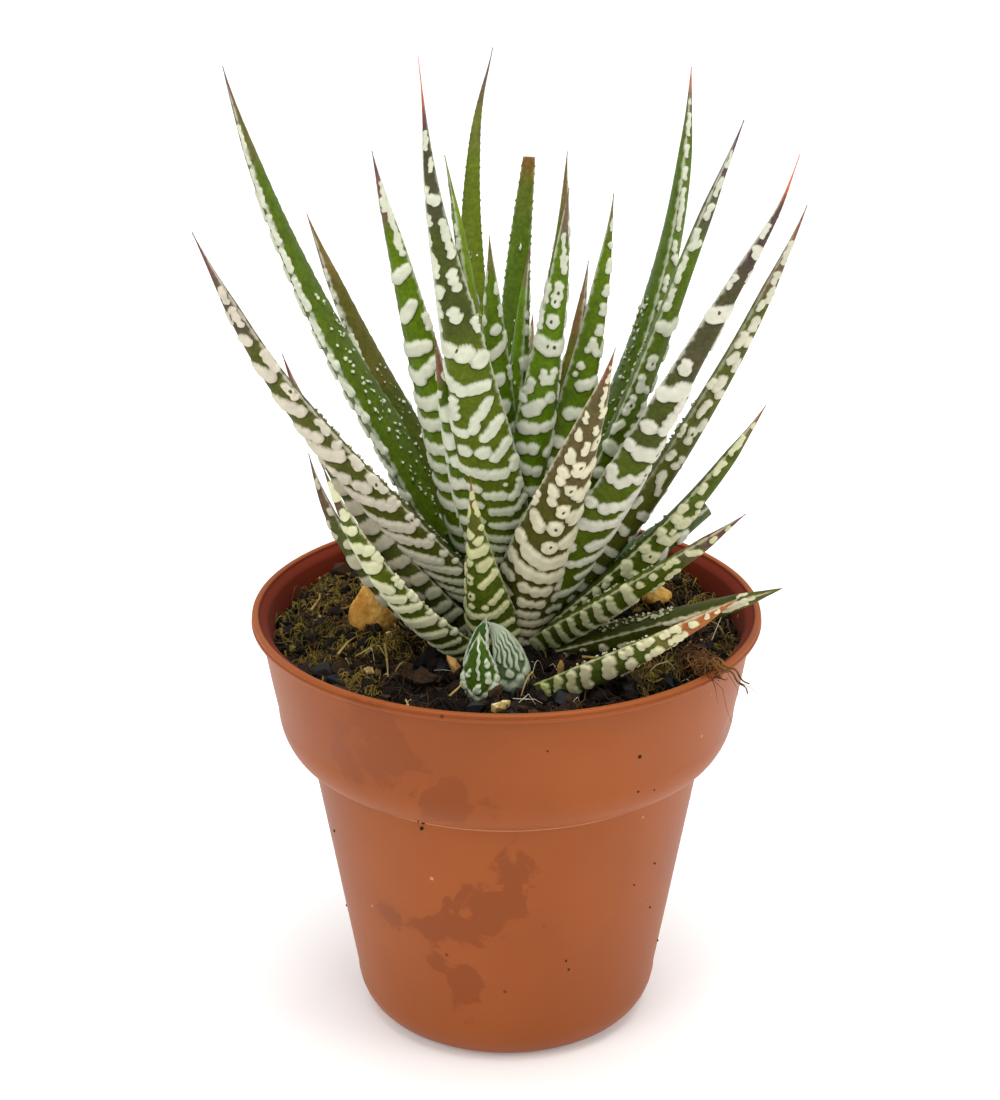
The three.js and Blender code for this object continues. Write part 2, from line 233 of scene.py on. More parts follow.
# Satin polypropylene: terracotta brown under a thin dry film of dust, clean and darker in ragged
# patches where that is wiped off; deep red-brown inside, which is painted shade; a pale painted
# highlight along the step; specks and scratches.
# A Mix node takes its share at 0 and its two colours at 6 and 7, or its two numbers at 2 and 3.
pot_plastic, pot_shader = new_material("moulded_polypropylene_terracotta")
coords = add_node(pot_plastic, "TexCoord", {}, "Object")
nearest = FAR_OFF  # way to the nearest patch, in its own reach
for centre, (across, up) in WIPED:
    middle = [c * MM for c in centre]
    inverse_reach = (1 / (across * MM), 1 / (across * 2 * MM), 1 / (up * MM))
    aside = add_node(pot_plastic, "VectorMath", {0: coords, 1: middle}, operation="SUBTRACT")
    scaled = add_node(pot_plastic, "VectorMath", {0: aside, 1: inverse_reach}, operation="MULTIPLY")
    distance = add_node(pot_plastic, "VectorMath", {0: scaled}, "Value", operation="LENGTH")
    nearest = add_node(pot_plastic, "Math", {0: distance, 1: nearest}, operation="MINIMUM")
film = add_node(pot_plastic, "TexNoise", {  # blotches of about 5 mm
    "Vector": coords, "Scale": 210.0, "Detail": 5.0, "Roughness": 0.6, "Distortion": 0.6,
})  # fmt: skip
ragged_rim = add_node(pot_plastic, "Math", {0: film, 1: 4.2, 2: nearest}, operation="MULTIPLY_ADD")
wiped = add_node(pot_plastic, "MapRange", {
    "Value": ragged_rim, "From Min": 3.24, "From Max": 2.9,
}, interpolation_type="SMOOTHSTEP")  # fmt: skip
clouds = add_node(pot_plastic, "TexNoise", {"Vector": coords, "Scale": 45.0, "Detail": 3.0})  # of 2 cm
cloud_share = add_node(pot_plastic, "MapRange", {"Value": clouds, "From Min": 0.35, "From Max": 0.65})
# the inside of the pot: painted shade in its colour, and a rougher surface
inside = add_node(pot_plastic, "Attribute", {}, "Fac", attribute_name="inside")
height_up = add_node(pot_plastic, "SeparateXYZ", {0: coords}, "Z")
from_step = add_node(pot_plastic, "Math", {0: height_up, 1: STEP * MM}, operation="SUBTRACT")
off_step = add_node(pot_plastic, "Math", {0: from_step}, operation="ABSOLUTE")
# a pale line along the step: a painted highlight
step_highlight = add_node(pot_plastic, "MapRange", {
    "Value": off_step, "From Min": 0.24 * MM, "From Max": 0.1 * MM, "To Max": 0.6,
})  # fmt: skip
speck_cell = add_node(pot_plastic, "TexVoronoi", {"Vector": coords, "Scale": 330.0})  # one in each 3 mm
speck_size = add_node(pot_plastic, "MapRange", {
    "Value": speck_cell, "From Min": 0.09, "From Max": 0.05,
}, interpolation_type="SMOOTHSTEP")  # fmt: skip
speck_luck = add_node(pot_plastic, "SeparateColor", {"Color": speck_cell.node.outputs["Color"]}).node
layers = [(cloud_share, "#894416"), (wiped, "#823e10"), (step_highlight, "#c89068"), (inside, "#6a1e02")]
for channel, left_out, code in ((0, 0.85, "#5e2c12"), (1, 0.8, "#c08458")):  # dark and pale specks
    luck = speck_luck.outputs[channel]
    kept = add_node(pot_plastic, "Math", {0: luck, 1: left_out}, operation="GREATER_THAN")
    layers.append((add_node(pot_plastic, "Math", {0: speck_size, 1: kept}, operation="MULTIPLY"), code))
pot_colour = linear("#954c1a")
for share, code in layers:
    both = {0: share, 6: pot_colour, 7: linear(code)}
    pot_colour = add_node(pot_plastic, "Mix", both, 2, data_type="RGBA")
rub = add_node(pot_plastic, "Mapping", {  # scratches of 1 by 14 mm, nearly upright
    "Vector": coords, "Scale": (900.0, 900.0, 70.0), "Rotation": (0.3, 0.2, 0.0),
})  # fmt: skip
scratches = add_node(pot_plastic, "TexNoise", {"Vector": rub, "Scale": 1.0, "Detail": 3.0})
skin_grain = add_node(pot_plastic, "TexNoise", {"Vector": coords, "Scale": 1400.0, "Detail": 2.0})
grain_height = add_node(pot_plastic, "Math", {0: scratches, 1: 0.4, 2: skin_grain}, operation="MULTIPLY_ADD")
satin = add_node(pot_plastic, "MapRange", {"Value": wiped, "To Min": 0.46, "To Max": 0.36})
relief = {"Height": grain_height, "Strength": 0.12, "Distance": 0.12 * MM}
feed(pot_plastic, pot_shader, {
    "Base Color": pot_colour,
    "Roughness": add_node(pot_plastic, "Mix", {0: inside, 2: satin, 3: 0.75}, data_type="FLOAT"),
    "Normal": add_node(pot_plastic, "Bump", relief),
    "IOR": 1.49, "Specular IOR Level": 0.2,
    "Sheen Weight": 0.03, "Sheen Roughness": 0.45, "Sheen Tint": linear("#ffe2cc"),
})  # fmt: skip

pot = new_piece("nursery_pot", turned(pot_line, 160), pot_plastic)
drains = bmesh.new()
for i in range(6):
    turn = Matrix.Rotation(math.radians(60 * i), 4, "Z") @ Matrix.Translation((8 * MM, 0, 1 * MM))
    bmesh.ops.create_cone(
        drains, cap_ends=True, segments=32, radius1=2 * MM, radius2=2 * MM, depth=6 * MM, matrix=turn,
    )  # fmt: skip
cut_away(pot, drains)
notches = bmesh.new()
for i in range(4):
    across = Matrix.Rotation(math.radians(45 + 90 * i), 4, "Z") @ Matrix.Translation((14 * MM, 0, 0))
    bmesh.ops.create_cube(notches, size=1, matrix=across @ Matrix.Diagonal((6.8 * MM, 3 * MM, 1.6 * MM, 1)))
cut_away(pot, notches)
pot.data.shade_smooth()
pot.data.set_sharp_from_angle(angle=math.radians(32))
outside_line = [(height, radius) for radius, height in wall_line(0)] + [(46.4, 27.25), (47.5, 27.25)]


def outer_radius(height):
    """Radius of the pot's outside at a height."""
    return float(np.interp(height, *zip(*outside_line)))


# marks the inside of the pot, for its painted shade and its roughness
inside_layer = pot.data.attributes.new("inside", "FLOAT", "POINT")
for vert, value in zip(pot.data.vertices, inside_layer.data):
    radius, height = math.hypot(vert.co.x, vert.co.y) / MM, vert.co.z / MM
    value.value = 1.0 if height > 1.5 and radius < outer_radius(height) - WALL / 2 else 0.0
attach(pot, "root")
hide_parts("pot")

# ---------- potting soil ----------
# Dark moist peat that fills the pot to 4 mm under its lip, humped at the back, lumpy all over,
# with cushions of moss; its sides follow the inside of the pot.

SOIL_LEVEL = 43.7
# humps and hollows: place, rise and reach
SOIL_HUMPS = [
    (-13, 17, 1.5, 6), (15, 15, 1.4, 6), (-20, -4, -1.2, 4), (17, -12, 0.6, 5), (-6, -19, -0.5, 5),
    (3.7, -14.2, 1.5, 1.5),
]  # fmt: skip
# moss cushions: place, reach and rise
CUSHIONS = [
    (-21, 11, 5, 0.9), (-17.5, -1, 5.2, 0.9), (-12.5, -3, 3, 0.6), (-23, 2, 3, 0.8), (-14, 18, 5, 0.6),
    (20, 17, 5, 0.7), (17, 9.5, 3.5, 0.5), (22.5, 6, 3, 0.8), (14.5, -11, 3, 0.6), (19.5, -9, 3, 0.9),
    (-20, -7, 3.2, 0.5), (0, 21, 6, 0.6), (-15.5, -12.5, 2.5, 0.6), (24, -3, 2, 0.5), (9, 22, 4, 0.5),
]  # fmt: skip


def soil_level(x, y):
    """Height of the peat, with its humps, its cushions, and lumps of about 3, 1 and 0.5 mm."""
    level = SOIL_LEVEL
    for a, b, rise, reach in SOIL_HUMPS:
        level += rise * math.exp(-((x - a) ** 2 + (y - b) ** 2) / reach**2)
    for a, b, reach, rise in CUSHIONS:
        level += 0.7 * rise * math.exp(-((x - a) ** 2 + (y - b) ** 2) / reach**2)
    coarse = noise.noise((x * 0.3, y * 0.3, 3.1))
    clods = noise.noise((x * 0.8, y * 0.8, 7.7))
    crumbs = noise.noise((x * 2.1, y * 2.1, 1.3))
    return level - 0.3 + 0.8 * coarse + 0.9 * clods + 0.35 * crumbs


peat, peat_shader = new_material("moist_peat")
coords = add_node(peat, "TexCoord", {}, "Object")
clods = add_node(peat, "TexNoise", {  # clods of about 2 mm, with their crumbs
    "Vector": coords, "Scale": 420.0, "Detail": 6.0, "Roughness": 0.7,
})  # fmt: skip
peat_share = add_node(peat, "MapRange", {
    "Value": clods, "From Min": 0.42, "From Max": 0.68,
}, interpolation_type="SMOOTHSTEP")  # fmt: skip
feed(peat, peat_shader, {
    "Base Color": add_node(peat, "Mix", {
        0: peat_share, 6: linear("#070402"), 7: linear("#1f140a"),
    }, 2, data_type="RGBA"),
    "Normal": add_node(peat, "Bump", {"Height": clods, "Strength": 0.8, "Distance": 0.6 * MM}),
    "Roughness": 0.9, "Specular IOR Level": 0.2,
})  # fmt: skip

soil_edge = 25.62  # inside radius of the pot at the soil's level
soil_line = [
    (0, 2.2),
    *[(radius - 0.2, height + 0.1) for radius, height in wall_line(WALL) if 2 < height < 42],
    (soil_edge, SOIL_LEVEL - 0.9),
    *[(soil_edge * (1 - i / 100), SOIL_LEVEL) for i in range(1, 100)],
    (0, SOIL_LEVEL),
]
soil_shell = turned(soil_line, 240)
for vert in soil_shell.verts:
    if vert.co.z > (SOIL_LEVEL - 0.1) * MM:
        vert.co.z = soil_level(vert.co.x / MM, vert.co.y / MM) * MM
soil = new_piece("peat_soil", soil_shell, peat)
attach(soil, "root")
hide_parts("potting_soil")

# ---------- litter on the soil ----------
# What lies loose on the peat: crumbs of peat, moss and coir fibres, chips of bark and charcoal,
# pale grains of grit, dry scales by the shoot, and a tuft of roots that hangs over the lip.

litter_luck = random.Random(41)
RIM = 24.7  # how far out the litter lies


def anywhere():
    """A random place on the soil."""
    reach, turn = RIM * math.sqrt(litter_luck.random()), litter_luck.uniform(0, 2 * math.pi)
    return reach * math.cos(turn), reach * math.sin(turn)


def in_cushion():
    """A random place on one of the moss cushions."""
    while True:
        x, y, reach, _rise = litter_luck.choices(CUSHIONS, [c[2] ** 2 for c in CUSHIONS])[0]
        x, y = x + litter_luck.gauss(0, 0.5 * reach), y + litter_luck.gauss(0, 0.5 * reach)
        if math.hypot(x, y) < RIM:
            return x, y


def between_sizes(least, most):
    """A random size, more often small than large."""
    return least + (most - least) * litter_luck.random() ** 1.8


def add_lump(lumps, place, size, squash, rough):
    """An angular lump: a bead of 20 faces, squashed, turned, and pushed about at its corners."""
    about = Matrix.Rotation(litter_luck.uniform(0, 6.28), 4, "Z")
    turn = about @ Matrix.Rotation(litter_luck.uniform(-0.5, 0.5), 4, "X")
    made = bmesh.ops.create_icosphere(
        lumps, subdivisions=1, radius=size * MM / 2,
        matrix=Matrix.Translation(Vector(place) * MM) @ turn @ Matrix.Diagonal((*squash, 1)),
    )  # fmt: skip
    for vert in made["verts"]:
        vert.co += Vector([litter_luck.uniform(-1, 1) for _ in range(3)]) * size * rough * MM


def scatter_lumps(name, places, count, least, most, flat, material):
    """Many angular lumps, half sunk in the soil, as one piece."""
    lumps = bmesh.new()
    for _ in range(count):
        x, y = places()
        size = between_sizes(least, most)
        squash = (litter_luck.uniform(0.7, 1.4), 1, litter_luck.uniform(flat, 1))
        add_lump(lumps, (x, y, soil_level(x, y) + 0.12 * size), size, squash, 0.12)
    return laid(new_piece(name, lumps, material))


def laid(piece, sharp=0.45):
    """A loose piece on the soil, with the edges between its facets left sharp."""
    piece.data.set_sharp_from_angle(angle=sharp)
    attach(piece, "root")
    return piece


def mottled(name, dark, light, scale, roughness):
    """A material of two colours in cloudy patches, as many to the metre as scale says."""
    material, shader = new_material(name)
    coords = add_node(material, "TexCoord", {}, "Object")
    patches = add_node(material, "TexNoise", {
        "Vector": coords, "Scale": scale, "Detail": 4.0, "Roughness": 0.65,
    })  # fmt: skip
    share = add_node(material, "MapRange", {
        "Value": patches, "From Min": 0.36, "From Max": 0.64,
    }, interpolation_type="SMOOTHSTEP")  # fmt: skip
    both = {0: share, 6: linear(dark), 7: linear(light)}
    feed(material, shader, {
        "Base Color": add_node(material, "Mix", both, 2, data_type="RGBA"),
        "Normal": add_node(material, "Bump", {"Height": patches, "Strength": 0.6, "Distance": 0.3 * MM}),
        "Roughness": roughness, "Specular IOR Level": 0.25,
    })  # fmt: skip
    return material


peat_crumb = mottled("peat_crumb", "#090502", "#24160a", 420.0, 0.9)
moss_crumb = mottled("dry_moss_crumb", "#3a2e12", "#7c6a30", 520.0, 0.9)
charcoal = mottled("charcoal", "#070708", "#1c1e21", 300.0, 0.6)
bark = mottled("bark_chip", "#170d06", "#3e2814", 380.0, 0.85)
grit = mottled("pale_grit", "#a08448", "#dcc890", 900.0, 0.8)

scatter_lumps("peat_crumbs", anywhere, 1500, 0.5, 2.0, 0.6, peat_crumb)
scatter_lumps("moss_crumbs", in_cushion, 900, 0.3, 1.2, 0.6, moss_crumb)
scatter_lumps("bark_chips", anywhere, 90, 0.9, 2.4, 0.35, bark)
scatter_lumps("grit_grains", anywhere, 26, 0.3, 0.7, 0.7, grit)

coal = bmesh.new()
for x, y, size in [
    (-19.3, -9.6, 3.0), (-20.6, -7.6, 2.2), (-6.5, -8.5, 2.6), (6.0, -15.8, 3.2), (9.5, -15.2, 2.8),
    (12.6, -14.6, 2.0), (-18.0, -12.0, 2.4), (-3.4, -17.3, 2.2), (17.2, -13.6, 2.2),
]:  # fmt: skip
    add_lump(coal, (x, y, soil_level(x, y) + 0.3), size, (1.2, 0.8, 0.7), 0.2)
for _ in range(70):
    x, y = anywhere()
    add_lump(coal, (x, y, soil_level(x, y) + 0.1), between_sizes(0.8, 2.2), (1.2, 0.9, 0.6), 0.15)
laid(new_piece("charcoal_bits", coal, charcoal))

bark_lumps = bmesh.new()
for _ in range(26):  # one big crumbly lump, left of the shoot
    share = litter_luck.random()
    x, y = -11.5 + 4.3 * share + litter_luck.gauss(0, 0.4), -9.6 - 3.6 * share + litter_luck.gauss(0, 0.5)
    add_lump(bark_lumps, (x, y, soil_level(x, y) + 0.5), litter_luck.uniform(1, 2.2), (1.1, 0.9, 0.7), 0.2)
laid(new_piece("bark_lump", bark_lumps, bark))

grains = bmesh.new()
for x, y, rise, size in [
    (-14.5, -10.5, 0.5, 1.4), (-0.9, -18.3, 0.6, 1.9), (-0.2, -17.9, 0.5, 1.2), (-12.6, -1.8, 0.9, 0.8),
]:  # fmt: skip
    add_lump(grains, (x, y, soil_level(x, y) + rise), size, (1.1, 0.9, 0.9), 0.12)
laid(new_piece("pale_grains", grains, grit))

scales = bmesh.new()
for x, y, z, size in [(-5.5, -12.2, 46.0, 2.0), (-0.9, -12.6, 46.3, 1.4), (5.6, -11.2, 45.0, 1.8)]:
    add_lump(scales, (x, y, z), size, (0.7, 0.35, 1.3), 0.1)
laid(new_piece("dry_scales", scales, mottled("dry_leaf_scale", "#7a5626", "#b08a4e", 500.0, 0.8)))


def fibres(name, thick, material, strands):
    """Thin four-sided tubes through points, thinner towards their ends."""
    bundle = bpy.data.curves.new(name, "CURVE")
    bundle.dimensions = "3D"
    bundle.bevel_depth = thick * MM / 2
    bundle.bevel_resolution = 0
    bundle.use_fill_caps = True
    for points in strands:
        strand = bundle.splines.new("POLY")
        strand.points.add(len(points) - 1)
        for i, (x, y, z) in enumerate(points):
            strand.points[i].co = (x * MM, y * MM, z * MM, 1)
            strand.points[i].radius = 1.15 - 0.75 * i / (len(points) - 1)
    shape = bpy.data.objects.new(name, bundle)
    scene.collection.objects.link(shape)
    bpy.context.view_layer.update()
    made = shape.evaluated_get(bpy.context.evaluated_depsgraph_get())
    tubes = bmesh.new()
    tubes.from_mesh(bpy.data.meshes.new_from_object(made))
    bpy.data.objects.remove(shape)
    bmesh.ops.remove_doubles(tubes, verts=tubes.verts, dist=1e-7)
    bmesh.ops.recalc_face_normals(tubes, faces=tubes.faces)
    return laid(new_piece(name + "_strands", tubes, material), math.pi)


def curled(places, least, most, hop, bend=1.8):
    """Points of a curled strand of random length that lies on the soil and arches up by about a hop."""
    x, y = places()
    length = between_sizes(least, most)
    turn = litter_luck.uniform(0, 2 * math.pi)
    twist = litter_luck.gauss(0, bend) / length
    arch = abs(litter_luck.gauss(0, hop))
    raised = max(0.0, litter_luck.gauss(0, 0.3)) * length * 0.5
    steps = 6
    points = []
    for i in range(steps + 1):
        share = i / steps
        pull = min(1.0, (RIM + 0.6) / max(math.hypot(x, y), 0.1))
        lift = 0.1 + arch * math.sin(math.pi * share) + raised * share
        points.append((x * pull, y * pull, soil_level(x * pull, y * pull) + lift))
        x += math.cos(turn) * length / steps
        y += math.sin(turn) * length / steps
        turn += twist * length / steps + litter_luck.gauss(0, 0.25)
    return points


# thickness, count, shortest and longest, hop, and the two colours of each kind of fibre
for name, thick, count, places, least, most, hop, colours in [
    ("golden_moss", 0.16, 1400, in_cushion, 0.9, 3.0, 0.45, ("#4a3c10", "#94802e")),
    ("olive_moss", 0.17, 1400, in_cushion, 0.9, 3.0, 0.45, ("#3a3412", "#7c7030")),
    ("brown_moss", 0.17, 1400, in_cushion, 0.9, 3.4, 0.4, ("#34220f", "#785630")),
    ("coir", 0.15, 800, anywhere, 1.2, 5.5, 0.5, ("#1e1308", "#54381c")),
    ("dark_rootlet", 0.2, 900, anywhere, 1.2, 5.0, 0.4, ("#0a0603", "#25180b")),
]:
    made = [curled(places, least, most, hop) for _ in range(count)]
    fibres(name, thick, mottled(name + "_colour", *colours, 300.0, 0.85), made)

straw = mottled("dry_straw", "#7c6630", "#b49c5c", 300.0, 0.8)
fibres("straw", 0.3, straw, [
    [(-12.9, -5.6, 45.4), (-12.7, -8.0, 45.2), (-12.5, -10.4, 45.0), (-12.4, -12.2, 44.6)],
    [(-17.9, -6.6, 44.7), (-17.0, -4.2, 45.0), (-16.0, -2.4, 45.0)],
    [(-13.6, -4.2, 45.0), (-14.9, -6.8, 45.2), (-16.0, -7.6, 44.9)],
    [(-21.4, 4.0, 45.2), (-20.6, 6.4, 45.6), (-20.7, 8.0, 45.5)],
    [(-5.9, -17.3, 44.8), (-4.9, -16.2, 45.3), (-4.6, -15.4, 45.5)],
    [(8.0, -8.0, 45.0), (12.5, -9.6, 45.4), (15.0, -10.0, 45.0)],
    *[curled(anywhere, 2.5, 6.0, 0.8, 0.9) for _ in range(26)],
])  # fmt: skip

fibres("white_root", 0.09, mottled("fine_white_root", "#b4a688", "#dcd2b8", 300.0, 0.7), [
    [(-5.7, -11.4, 44.9), (-6.6, -11.5, 45.1), (-7.6, -11.4, 45.0)],
    [(0.6, -19.6, 45.6), (1.6, -20.6, 46.0), (2.8, -20.4, 45.9), (3.6, -21.2, 45.8)],
    [(1.2, -20.8, 45.7), (2.2, -19.8, 46.2), (2.9, -21.4, 45.8)],
    [(21.8, -5.9, 46.0), (22.9, -3.0, 47.2), (24.0, -0.2, 48.4)],
    *[curled(anywhere, 1.5, 4.5, 0.8, 1.2) for _ in range(40)],
])  # fmt: skip


def rounded_off(points):
    """A line through points, with its corners cut off twice."""
    for _ in range(2):
        cut = [points[0]]
        for start, end in zip(points, points[1:]):
            cut += [Vector(start).lerp(Vector(end), share) for share in (0.25, 0.75)]
        points = [*cut, points[-1]]
    return points


tuft = []  # crinkled rootlets, each wandering from the soil towards the lip
for _ in range(150):
    share = litter_luck.random()
    x, y, z = 18.6 + 2.2 * share, -7.5 - 8.5 * share, 45.3 + 2.4 * share
    strand = []
    for _ in range(7):
        strand.append((x, y, z))
        x += 0.1 + litter_luck.gauss(0, 0.36)
        y += -0.3 + litter_luck.gauss(0, 0.5)
        z = max(z + litter_luck.gauss(0.03, 0.26), 45.2)
    tuft.append(rounded_off(strand))
root_brown = mottled("dry_root", "#3c2410", "#7c5428", 300.0, 0.8)
fibres("root_tuft", 0.2, root_brown, tuft)
thick_root = [
    (19.7, -10.2, 46), (20.6, -12.2, 47.1), (20.7, -14, 47.2), (21.6, -16.1, 48.2), (21.9, -18, 48),
    (22.9, -18.9, 48.4), (23.4, -19.7, 47.4), (24.3, -19.5, 46.9), (24.5, -19.6, 46.1),
]  # fmt: skip
fibres("hanging_root", 0.42, root_brown, [
    rounded_off(thick_root),
    rounded_off([(x + 0.4, y + 0.4, z + 0.1) for x, y, z in thick_root[2:8]]),
    rounded_off([(x - 0.4, y - 0.5, z + 0.1) for x, y, z in thick_root[1:6]]),
])  # fmt: skip
fibres("root_hair", 0.08, root_brown, [
    [(20.2, -17.6, 47.7), (21.9, -19.9, 46.8), (22.4, -19.9, 44.5), (23.3, -19.4, 42.0)],
    [(20.7, -17.5, 47.7), (21.2, -20.0, 46.8), (21.4, -20.4, 45.4)],
    [(22.4, -19.0, 48.3), (23.4, -19.8, 46.8), (23.6, -19.9, 45.0)],
    [(19.4, -17.0, 47.6), (20.4, -19.2, 48.0), (21.2, -20.6, 47.4)],
    [(23.5, -19.6, 47.5), (24.8, -19.9, 46.9), (25.8, -20.0, 45.8)],
])  # fmt: skip


def add_speck(specks, turn, height, size):
    """A flat speck of peat that sticks to the pot's outside, at a turn in degrees."""
    radius, angle = outer_radius(height), math.radians(turn)
    add_lump(specks, (radius * math.cos(angle), radius * math.sin(angle), height), size, (1, 0.5, 1), 0.12)


dirt = bmesh.new()
for turn, height in [
    (-114.5, 30.6), (-113.6, 31.5), (-113.2, 32.5), (-69.5, 13.5), (-68.3, 12.2), (-46.0, 21.0),
    (-81.0, 42.6), (-58.0, 40.0),
]:  # fmt: skip
    add_speck(dirt, turn, height, litter_luck.uniform(0.3, 0.6))
for _ in range(22):
    turn, height = litter_luck.uniform(-60, 250), litter_luck.uniform(8, 44)
    add_speck(dirt, turn, height, litter_luck.uniform(0.2, 0.4))
laid(new_piece("dirt_specks", dirt, peat_crumb))

# ---------- clay grains ----------
# Two broken grains of ochre fired clay on the soil, rough and pitted.

clay, clay_shader = new_material("rough_fired_clay")
coords = add_node(clay, "TexCoord", {}, "Object")
clay_cloud = add_node(clay, "TexNoise", {"Vector": coords, "Scale": 420.0, "Detail": 6.0, "Roughness": 0.7})
clay_pits = add_node(clay, "TexVoronoi", {"Vector": coords, "Scale": 1300.0})  # pores of 0.8 mm
clay_share = add_node(clay, "MapRange", {
    "Value": clay_cloud, "From Min": 0.35, "From Max": 0.65,
}, interpolation_type="SMOOTHSTEP")  # fmt: skip
clay_height = add_node(clay, "Math", {0: clay_pits, 1: 0.5, 2: clay_cloud}, operation="MULTIPLY_ADD")
feed(clay, clay_shader, {
    "Base Color": add_node(clay, "Mix", {
        0: clay_share, 6: linear("#b07622"), 7: linear("#e0b058"),
    }, 2, data_type="RGBA"),
    "Normal": add_node(clay, "Bump", {"Height": clay_height, "Strength": 0.7, "Distance": 0.3 * MM}),
    "Roughness": 0.9,
})  # fmt: skip

for name, place, size, turn in [
    ("clay_grain_1", (-14.7, 2.6, 45.7), (2.4, 2.0, 3.0), 0.4),
    ("clay_grain_2", (16.6, 8.2, 45.4), (1.8, 1.5, 1.3), 1.1),
]:
    grain = bmesh.new()
    bmesh.ops.create_icosphere(grain, subdivisions=5, radius=1)
    for vert in grain.verts:
        p = vert.co.copy()
        chip = 1 + 0.05 * math.sin(5 * p.x + 3 * p.y) * math.cos(4 * p.z - 2 * p.y)
        rough = 0.1 * noise.noise(p * 1.7) + 0.04 * noise.noise(p * 7)
        narrow = 1 - 0.46 * p.z
        vert.co = Vector((
            p.x * size[0] * (chip + rough) * narrow - 0.6 * p.z,
            p.y * size[1] * (chip + rough) * narrow,
            p.z * size[2] * (chip + rough),
        ))  # fmt: skip
    bmesh.ops.transform(grain, verts=grain.verts, matrix=(
        Matrix.Scale(MM, 4) @ Matrix.Translation(place) @ Matrix.Rotation(turn, 4, "Z")
    ))  # fmt: skip
    piece = new_piece("ochre_" + name, grain, clay)
    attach(piece, "root")
    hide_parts(name)
